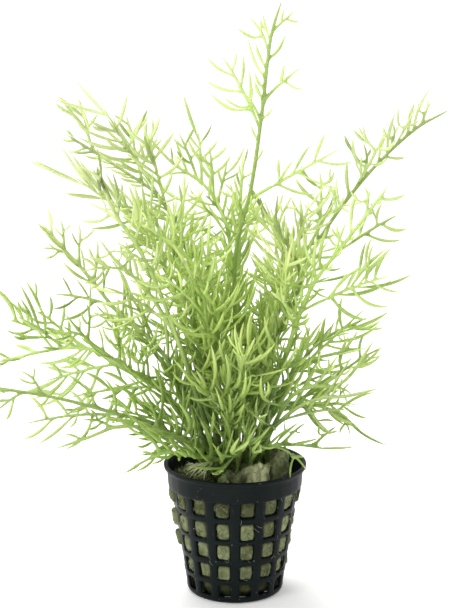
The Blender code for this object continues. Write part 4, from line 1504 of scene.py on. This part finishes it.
def wool_point(angle, step, tops, peaks, edges):
    """A point on the wool with its creases and lumps, then its depth (painted shade, darker in the
    creases) and its tone and painted light value.
    """
    top, peak, edge = (ringed(values, angle) for values in (tops, peaks, edges))
    peak += LEFT_SPREAD * max(0.0, math.cos(angle - LEFT_TURN)) ** 2
    radius, z, depth, clean = wool_outline(angle, step, top, peak, edge)
    fold = (angle * WOOL_PEAK_RADIUS, step * 5.0, 0.0)
    crease = max(0.0, 1.0 - CREASE_SHARPNESS * abs(rough(fold, 0.17, 7.0)))
    point = np.array((radius * math.cos(angle), radius * math.sin(angle), z))
    swell = lumps(point, WOOL_LUMPS)
    if step > 1.0:
        rise = min(1.0, (step - 1.0) * 2.0)
        swell = 1.6 * swell - CREASE_DEPTH * crease * rise
        # Painted shade: creases are made darker
        depth *= 1.0 - 0.85 * crease * rise
    point = point + np.array((math.cos(angle), math.sin(angle), 0.0)) * swell
    if 1.4 < step < 3.4:
        point[2] += lumps(point, TOP_LUMPS) - 1.2 * crease
    # A pool of painted light on the torn top, strongest at its middle, over a tone that varies at
    # random
    if step > 1.2:
        light_pool = 1.0 - np.linalg.norm((point - np.array(LIGHT_POOL_MIDDLE)) * LIGHT_POOL_FORM) / LIGHT_POOL_REACH
        light_pool = max(0.0, light_pool)
        depth = max(depth, min(1.0, 2.0 * light_pool))
        clean = 0.5 + 0.5 * rough(point, 0.35, 2.0) + 1.6 * light_pool
    return point, depth, clean


def make_wool(look):
    bm = bmesh.new()
    # depth holds the painted shade (low is darker); fibres and stray hairs take values above 1, which
    # mark them pale
    depth_layer, tone_and_light_layer = (bm.verts.layers.float.new(name) for name in ("depth", "clean"))
    tops, peaks = torn_edge()
    rng = random.Random(5)
    edges = [min(top - rng.uniform(0.5, 3.0), HIGHEST_EDGE) for top in tops]
    around = [-math.pi / 2 + 2 * math.pi * k / WOOL_AROUND for k in range(WOOL_AROUND)]
    steps = list(np.linspace(0, 1, WOOL_RINGS))
    for start, count in enumerate(TOP_RINGS, 1):
        steps += list(np.linspace(start, start + 1, count)[1:])
    rings, surface = [], []
    for step in steps:
        ring = []
        for angle in around:
            point, depth, clean = wool_point(angle, float(step), tops, peaks, edges)
            vert = bm.verts.new(point)
            vert[depth_layer] = depth
            vert[tone_and_light_layer] = clean
            ring.append(vert)
        rings.append(ring)
        surface.append([(vert.co.copy(), vert[depth_layer]) for vert in ring])
    close_tube(bm, rings)
    rng = random.Random(21)
    fibres_on(bm, depth_layer, surface, rng)
    strays_on(bm, depth_layer, rng)
    piece = add_piece("rockwool_body", bm, look, 0)
    settle(piece, "rockwool_plug")


def strand(bm, points, radius, layer=None, value=0.0, sides=3):
    """A closed thin tube through the points, drawn in at both ends."""
    points = [np.asarray(point, float) for point in points]
    last = len(points) - 1
    rings = []
    for index, point in enumerate(points):
        tangent = unit(points[min(index + 1, last)] - points[max(index - 1, 0)])
        seed = np.array((0.3, 0.2, 1.0)) if abs(tangent[2]) < 0.9 else np.array((1.0, 0.1, 0.0))
        up = across(seed, tangent)
        side = np.cross(tangent, up)
        r = radius * (0.45 if index in (0, last) else 1.0)
        ring = []
        for k in range(sides):
            turn = 2 * math.pi * k / sides
            vert = bm.verts.new(point + (up * math.cos(turn) + side * math.sin(turn)) * r)
            if layer is not None:
                vert[layer] = value
            ring.append(vert)
        rings.append(ring)
    close_tube(bm, rings)


def fibres_on(bm, layer, surface, rng):
    """Mineral fibres lying on the wool's windows and standing off its torn top."""
    flat = [(ring, k) for ring in range(2, len(surface) - 8) for k in range(WOOL_AROUND)]
    for _ in range(FIBRES):
        ring, k = flat[rng.randrange(len(flat))]
        point, depth = surface[ring][k]
        if rng.random() > depth:
            continue
        right = (surface[ring][(k + 3) % WOOL_AROUND][0] - point).normalized()
        up = (surface[ring + 1][k][0] - point).normalized()
        out = right.cross(up).normalized()
        angle = rng.uniform(0, math.pi)
        way = right * math.cos(angle) + up * math.sin(angle)
        reach = rng.uniform(1.0, 2.8)
        torn = ring >= WOOL_RINGS
        lift = rng.uniform(0.2, 1.3) if torn else rng.uniform(0.05, 0.45)
        points = []
        for share in (0.0, 0.35, 0.7, 1.0):
            arch = math.sin(math.pi * share) * lift + (lift * 0.6 if torn else 0) * share
            wave = up.cross(way) * rng.uniform(-0.12, 0.12)
            points.append(point + way * (share - 0.5) * reach + out * (arch - 0.04) + wave)
        strand(bm, points, rng.uniform(0.035, 0.08), layer, 0.8 + 0.6 * rng.random())


def strays_on(bm, layer, rng):
    """Pale hairs caught on the pot's bars, most of them on its right side."""
    for number in range(STRAYS):
        turn = math.radians(rng.gauss(-8, 16) if number % 5 else rng.uniform(-150, -20))
        z = rng.uniform(9.0, 43.0)
        drift, climb = rng.uniform(-0.12, 0.12), rng.uniform(-3.0, 3.0)
        points = []
        for share in QUARTERS:
            angle = turn + drift * share + rng.uniform(-0.008, 0.008)
            height = z + climb * share + rng.uniform(-0.15, 0.15)
            radius = wall_radius(height) + 0.12 + 0.5 * math.sin(math.pi * share) * rng.random()
            points.append((radius * math.cos(angle), radius * math.sin(angle), height))
        strand(bm, points, rng.uniform(0.03, 0.065), layer, 1.4)


# Crown and roots


def make_crown(look):
    """The dome of old stalk bases, with a short scale round the foot of each stalk."""
    bm = bmesh.new()
    rings = []
    for share in np.linspace(1.0, 0.08, CROWN_RINGS):
        ring = []
        for j in range(CROWN_AROUND):
            point, normal = crown_point(share, 2 * math.pi * j / CROWN_AROUND)
            ring.append(bm.verts.new(point + normal * (lumps(point, CROWN_LUMPS) - 0.35)))
        rings.append(ring)
    close_tube(bm, rings)
    rng = random.Random(31)
    for share, turn in crown_slots(SCALES):
        point, normal = crown_point(min(0.97, share * 1.05), turn + 0.9)
        lean = unit(normal * 0.7 + 0.6 * UP + np.array(jitter(rng, 0.3)))
        height = rng.uniform(1.6, 4.2)
        foot = point - normal * 0.6
        points = [foot + lean * height * part for part in (0.0, 0.3, 0.6, 0.85, 1.0)]
        strand(bm, points, rng.uniform(0.35, 0.7), sides=5)
    piece = add_piece("crown_base", bm, look, 0)
    settle(piece, "crown")


def jitter(rng, reach):
    return [rng.uniform(-reach, reach) for _ in range(3)]


def scaled(vector, size):
    return Vector([c * s for c, s in zip(vector, size)])


def dome_way(angle, rise):
    """A direction on the upper half of a sphere, from its turn and its height."""
    level = math.sqrt(1 - rise * rise)
    return Vector((level * math.cos(angle), level * math.sin(angle), rise))


def mound(bm, layer, pad, rng):
    """A felted mound of moss and roots, with hairs over it and a few standing off."""
    centre, size, degrees, hairs, palest = pad
    centre = Vector(centre)
    turn = Matrix.Rotation(math.radians(degrees), 4, "Z")
    for vert in bmesh.ops.create_icosphere(bm, subdivisions=5, radius=1.0)["verts"]:
        spot = scaled(vert.co, size)
        vert.co = centre + turn @ (spot * (1 + lumps(spot, MOUND_LUMPS)))
        vert.co.z = max(vert.co.z, CLUMP_BED + 0.4 + 0.3 * rough(vert.co, 0.7))
        vert[layer] = MOUND_TONE
    for _ in range(hairs):
        way = dome_way(rng.uniform(0, 2 * math.pi), rng.uniform(0.05, 1.0))
        spin = Vector(jitter(rng, 1))
        standing = rng.random() < 0.18
        stretch = rng.uniform(0.15, 0.45)
        points = []
        for step in range(HAIR_STEPS + 1):
            lift = 0.25 * step / HAIR_STEPS if standing else 0.03
            spot = scaled(way, size) * (1.0 + lift)
            points.append(centre + turn @ spot + Vector(jitter(rng, 0.25)))
            way = (way + spin * stretch * 0.45).normalized()
            way.z = abs(way.z)
        if all(point.z > CLUMP_BED for point in points):
            value = palest * rng.uniform(0.1, 1.0) ** 1.5
            strand(bm, points, rng.uniform(0.04, 0.12), layer, value)


def make_roots(look):
    """The mounds of moss and roots, and pale roots that fan out over them from a knot."""
    bm = bmesh.new()
    layer = bm.verts.layers.float.new("depth")
    rng = random.Random(11)
    for pad in MOUNDS:
        mound(bm, layer, pad, rng)
    knot = Vector(ROOT_KNOT)
    turn = Matrix.Rotation(math.radians(CLUMP_TURN), 4, "Z")
    for number in range(FAN_HAIRS):
        way = dome_way(rng.uniform(*FAN_TURNS), rng.uniform(0.05, 0.75))
        foot = scaled(way, CLUMP_SIZE) * rng.uniform(1.0, 1.16)
        foot = Vector(CLUMP_CENTRE) + turn @ foot
        sag = Vector((rng.uniform(-1.6, 1.6), rng.uniform(-1.6, 0.2), rng.uniform(0.2, 1.8)))
        points = []
        for share in QUARTERS:
            wiggle = Vector(jitter(rng, 0.3))
            points.append(knot.lerp(foot, share) + sag * 4 * share * (1 - share) + wiggle)
        thick = number < THICK_ROOTS
        radius = rng.uniform(0.15, 0.27) if thick else rng.uniform(0.05, 0.11)
        strand(bm, points, radius, layer, 1.3 if thick else rng.uniform(0.4, 1.0), 5)
    piece = add_piece("root_tangle", bm, look, 0)
    settle(piece, "root_clump")


# Materials


class Look:
    """A node material: short calls for the nodes that every finish here needs."""

    def __init__(self, name, **constants):
        self.material = bpy.data.materials.new(name)
        self.material.use_nodes = True
        self.nodes = self.material.node_tree.nodes
        self.links = self.material.node_tree.links
        self.shader = self.nodes["Principled BSDF"]
        for socket, value in constants.items():
            self.shader.inputs[socket.replace("_", " ")].default_value = value
        self.place = self.nodes.new("ShaderNodeTexCoord").outputs["Object"]

    def link(self, value, socket):
        if isinstance(value, (int, float)):
            socket.default_value = value
        elif isinstance(value, tuple):
            socket.default_value = (*value, 1.0) if len(socket.default_value) == 4 else value
        else:
            self.links.new(value, socket)

    def set(self, name, value):
        self.link(value, self.shader.inputs[name])

    def noise(self, scale, detail=3.0, roughness=0.55, stretch=None):
        node = self.nodes.new("ShaderNodeTexNoise")
        node.inputs["Scale"].default_value = scale
        node.inputs["Detail"].default_value = detail
        node.inputs["Roughness"].default_value = roughness
        place = self.place
        if stretch:
            mapping = self.nodes.new("ShaderNodeMapping")
            mapping.inputs["Scale"].default_value = stretch
            self.links.new(place, mapping.inputs["Vector"])
            place = mapping.outputs["Vector"]
        self.links.new(place, node.inputs["Vector"])
        return node.outputs["Fac"]

    def attribute(self, name):
        node = self.nodes.new("ShaderNodeAttribute")
        node.attribute_name = name
        return node.outputs["Fac"]

    def axes(self):
        node = self.nodes.new("ShaderNodeSeparateXYZ")
        self.links.new(self.place, node.inputs["Vector"])
        return node.outputs

    def from_middle(self):
        """Distance from the upright line through the origin."""
        x, y, _ = self.axes()
        squares = self.math("ADD", self.math("MULTIPLY", x, x), self.math("MULTIPLY", y, y))
        return self.math("SQRT", squares, 0.0)

    def spread(self, value, low, high, to_low=0.0, to_high=1.0):
        """Value from low..high brought to to_low..to_high, held at the ends."""
        node = self.nodes.new("ShaderNodeMapRange")
        for socket, number in zip(node.inputs[1:5], (low, high, to_low, to_high)):
            socket.default_value = number
        self.links.new(value, node.inputs["Value"])
        return node.outputs["Result"]

    def math(self, operation, a, b):
        node = self.nodes.new("ShaderNodeMath")
        node.operation = operation
        self.link(a, node.inputs[0])
        self.link(b, node.inputs[1])
        return node.outputs["Value"]

    def ramp(self, value, stops):
        node = self.nodes.new("ShaderNodeValToRGB")
        points = node.color_ramp.elements
        while len(points) < len(stops):
            points.new(0.5)
        for point, (place, colour) in zip(points, stops):
            point.position = place
            point.color = (*colour, 1.0)
        self.links.new(value, node.inputs["Fac"])
        return node.outputs["Color"]

    def mix(self, share, a, b, kind="MIX"):
        node = self.nodes.new("ShaderNodeMix")
        node.data_type = "RGBA"
        node.blend_type = kind
        sockets = [socket for socket in node.inputs if socket.type == "RGBA"]
        self.link(share, node.inputs["Factor"])
        self.link(a, sockets[0])
        self.link(b, sockets[1])
        return next(socket for socket in node.outputs if socket.type == "RGBA")

    def layered(self, base, layers, inputs):
        """Colours laid over a base, each as strong as its spreads multiplied together."""
        for colour, *spans in layers:
            share = None
            for name, *span in spans:
                part = self.spread(inputs[name], *span)
                share = part if share is None else self.math("MULTIPLY", share, part)
            base = self.mix(share, base, colour)
        return base

    def bump(self, height, strength, distance):
        node = self.nodes.new("ShaderNodeBump")
        node.inputs["Strength"].default_value = strength
        node.inputs["Distance"].default_value = distance
        self.links.new(height, node.inputs["Height"])
        self.links.new(node.outputs["Normal"], self.shader.inputs["Normal"])


def frond_look():
    look = Look("leaf_tissue", Subsurface_Weight=0.32, Subsurface_Scale=0.0016, Specular_IOR_Level=0.4)
    look.shader.inputs["Subsurface Radius"].default_value = (0.8, 1.0, 0.35)
    height = look.axes()["Z"]
    patches = look.noise(160.0, 4.0)
    age = look.math("ADD", look.attribute("age"), look.spread(patches, 0.3, 0.7, -0.1, 0.1))
    # Painted shade: low down the ramp is read lower, so the limbs are darker there
    age = look.math("MULTIPLY", age, look.spread(height, 0.06, 0.14, 0.66, 1.0))
    inputs = {"age": age, "height": height, "out": look.from_middle(), "cells": look.noise(1500.0, 2.0)}
    for name in ("tone", "tint"):
        inputs[name] = look.attribute(name)
    shaded = look.layered(look.ramp(age, LEAF_STOPS), LEAF_LAYERS, inputs)
    # Painted shade: each limb darker towards its edges, more so lower down
    edge = look.spread(look.math("ABSOLUTE", look.attribute("side"), 0.0), 0.25, 1.0)
    edge = look.math("MULTIPLY", edge, look.spread(height, 0.1, 0.19, 0.5, 0.2))
    shaded = look.mix(edge, shaded, look.mix(1.0, shaded, LEAF_EDGE_SHADE, "MULTIPLY"))
    look.set("Base Color", look.layered(shaded, FLECK_LAYERS, inputs))
    look.set("Roughness", look.spread(patches, 0.3, 0.7, 0.38, 0.6))
    look.bump(look.noise(900.0, 3.0), 0.35, 0.0004)
    return look.material


def plastic_look():
    look = Look("black_polypropylene", Specular_IOR_Level=0.085)
    base = look.ramp(look.noise(70.0, 5.0), PLASTIC_STOPS)
    dust = {"dust": look.noise(900.0, 1.0)}
    look.set("Base Color", look.layered(base, DUST_LAYERS, dust))
    streaks = look.noise(60.0, 4.0, stretch=(1.0, 1.0, 0.25))
    look.set("Roughness", look.spread(streaks, 0.3, 0.7, 0.30, 0.52))
    look.bump(look.noise(1400.0, 4.0), 0.12, 0.0003)
    return look.material


def wool_look():
    look = Look("mineral_wool", Specular_IOR_Level=0.2)
    clumps = look.noise(320.0, 6.0, 0.65)
    inputs = {
        "strands": look.noise(900.0, 5.0, 0.7, (1.0, 1.0, 0.3)),
        "stains": look.noise(150.0, 4.0),
        "soaking": look.noise(95.0, 3.0),
        "height": look.axes()["Z"],
        "depth": look.attribute("depth"),
        "clean": look.attribute("clean"),
    }
    look.set("Base Color", look.layered(look.ramp(clumps, WOOL_STOPS), WOOL_LAYERS, inputs))
    look.set("Roughness", look.spread(clumps, 0.3, 0.7, 0.8, 0.98))
    look.bump(look.noise(1100.0, 6.0, 0.7), 0.7, 0.0007)
    return look.material


def crown_look():
    look = Look("rootstock", Specular_IOR_Level=0.25)
    grain = look.noise(500.0, 5.0, 0.6, (1.0, 1.0, 0.4))
    look.set("Base Color", look.ramp(grain, CROWN_STOPS))
    look.set("Roughness", look.spread(grain, 0.3, 0.7, 0.6, 0.9))
    look.bump(grain, 0.6, 0.0006)
    return look.material


def root_look():
    look = Look("root_hairs", Specular_IOR_Level=0.25)
    depth = look.attribute("depth")
    cloud = look.noise(400.0, 4.0)
    value = look.math("ADD", depth, look.spread(cloud, 0.3, 0.7, -0.2, 0.2))
    look.set("Base Color", look.ramp(value, ROOT_STOPS))
    look.set("Roughness", look.spread(cloud, 0.3, 0.7, 0.65, 0.95))
    look.bump(look.noise(1500.0, 4.0), 0.5, 0.0004)
    return look.material


def floor_look():
    look = Look("pale_floor", Roughness=0.7, Specular_IOR_Level=0.1)
    look.shader.inputs["Emission Color"].default_value = (1.0, 1.0, 1.0, 1.0)
    look.set("Emission Strength", look.spread(look.from_middle(), 0.3, 1.6, 0.2, 0.5))
    look.set("Base Color", look.ramp(look.noise(6.0, 2.0), FLOOR_STOPS))
    return look.material


# Stage


def make_stage():
    bm = bmesh.new()
    left, right, front, back = FLOOR_SPAN
    corners_at = ((left, front), (right, front), (right, back), (left, back))
    bm.faces.new([bm.verts.new((x, y, 0.0)) for x, y in corners_at])
    mesh = bpy.data.meshes.new("floor")
    bm.to_mesh(mesh)
    bm.free()
    mesh.materials.append(floor_look())
    floor = bpy.data.objects.new("floor", mesh)
    bpy.context.scene.collection.objects.link(floor)


def area_light(name, place, target, size, power, colour):
    data = bpy.data.lights.new(name, "AREA")
    data.shape = "DISK"
    data.size = size
    data.energy = power
    data.color = colour
    lamp = bpy.data.objects.new(name, data)
    lamp.location = place
    lamp.rotation_euler = (Vector(place) - Vector(target)).to_track_quat("Z", "Y").to_euler()
    bpy.context.scene.collection.objects.link(lamp)


def make_world():
    """Bright behind the plant and above it, dimmer on the camera's side."""
    world = bpy.data.worlds.new("studio")
    world.use_nodes = True
    bpy.context.scene.world = world
    nodes, links = world.node_tree.nodes, world.node_tree.links
    back = nodes["Background"]
    back.inputs["Color"].default_value = (1.0, 1.0, 1.0, 1.0)
    place = nodes.new("ShaderNodeTexCoord")
    parts = nodes.new("ShaderNodeSeparateXYZ")
    level = nodes.new("ShaderNodeMapRange")
    for socket, number in zip(level.inputs[1:5], (*LEVEL_FADE, FRONT_LEVEL, BACK_LEVEL)):
        socket.default_value = number
    links.new(place.outputs["Generated"], parts.inputs["Vector"])
    links.new(parts.outputs["Y"], level.inputs["Value"])
    links.new(level.outputs["Result"], back.inputs["Strength"])


def make_camera():
    data = bpy.data.cameras.new("camera")
    data.sensor_width = SENSOR_WIDTH
    data.lens = CAMERA_FOCAL_PIXELS / PHOTO_HEIGHT * SENSOR_WIDTH
    data.clip_start, data.clip_end = CLIP
    camera = bpy.data.objects.new("camera", data)
    camera.location = CAMERA_PLACE
    camera.rotation_euler = (math.radians(90.0 - CAMERA_PITCH), 0.0, 0.0)
    bpy.context.scene.collection.objects.link(camera)
    bpy.context.scene.camera = camera


def add_piece(name, bm, look, levels):
    """A mesh object in metres; its subdivision is applied before it is used."""
    bmesh.ops.recalc_face_normals(bm, faces=bm.faces)
    bmesh.ops.scale(bm, vec=(MM, MM, MM), verts=bm.verts)
    mesh = bpy.data.meshes.new(name)
    bm.to_mesh(mesh)
    bm.free()
    obj = bpy.data.objects.new(name, mesh)
    bpy.context.scene.collection.objects.link(obj)
    if levels:
        smooth = obj.modifiers.new("smooth", "SUBSURF")
        smooth.levels = smooth.render_levels = levels
        seen = obj.evaluated_get(bpy.context.evaluated_depsgraph_get())
        finished = bpy.data.meshes.new_from_object(seen)
        obj.modifiers.clear()
        obj.data = finished
        finished.name = name
    obj.data.shade_smooth()
    obj.data.materials.clear()
    obj.data.materials.append(look)
    return obj


def settle(piece, node):
    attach(piece, "root")
    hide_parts(node)


def close_tube(bm, rings):
    """Faces between the rings, in order, and over both ends."""
    for low, high in zip(rings, rings[1:]):
        join_rings(bm, low, high)
    bm.faces.new(rings[0])
    bm.faces.new(rings[-1])


def join_rings(bm, lower, upper):
    count = len(lower)
    for j in range(count):
        k = (j + 1) % count
        bm.faces.new((lower[j], lower[k], upper[k], upper[j]))


def make_fronds(look):
    fronds = all_fronds()
    space = Space()
    solids_in_the_way(space)
    for frond, slot in zip(fronds, shared_out(fronds, crown_slots(len(fronds)))):
        root, normal = crown_point(*slot, lift=CLEARANCE + 0.7 * slot[0])
        frond.place_spine(root, normal, space)
    for frond in fronds:
        frond.grow(space)
    for number, frond in enumerate(fronds):
        make_frond(frond, look, space, number)


WINDOWS = window_wool()
bpy.context.scene.view_settings.view_transform = "Standard"
make_camera()
make_world()
make_stage()
for lamp in LAMPS:
    area_light(*lamp)
make_pot(plastic_look())
make_wool(wool_look())
make_crown(crown_look())
make_roots(root_look())
make_fronds(frond_look())
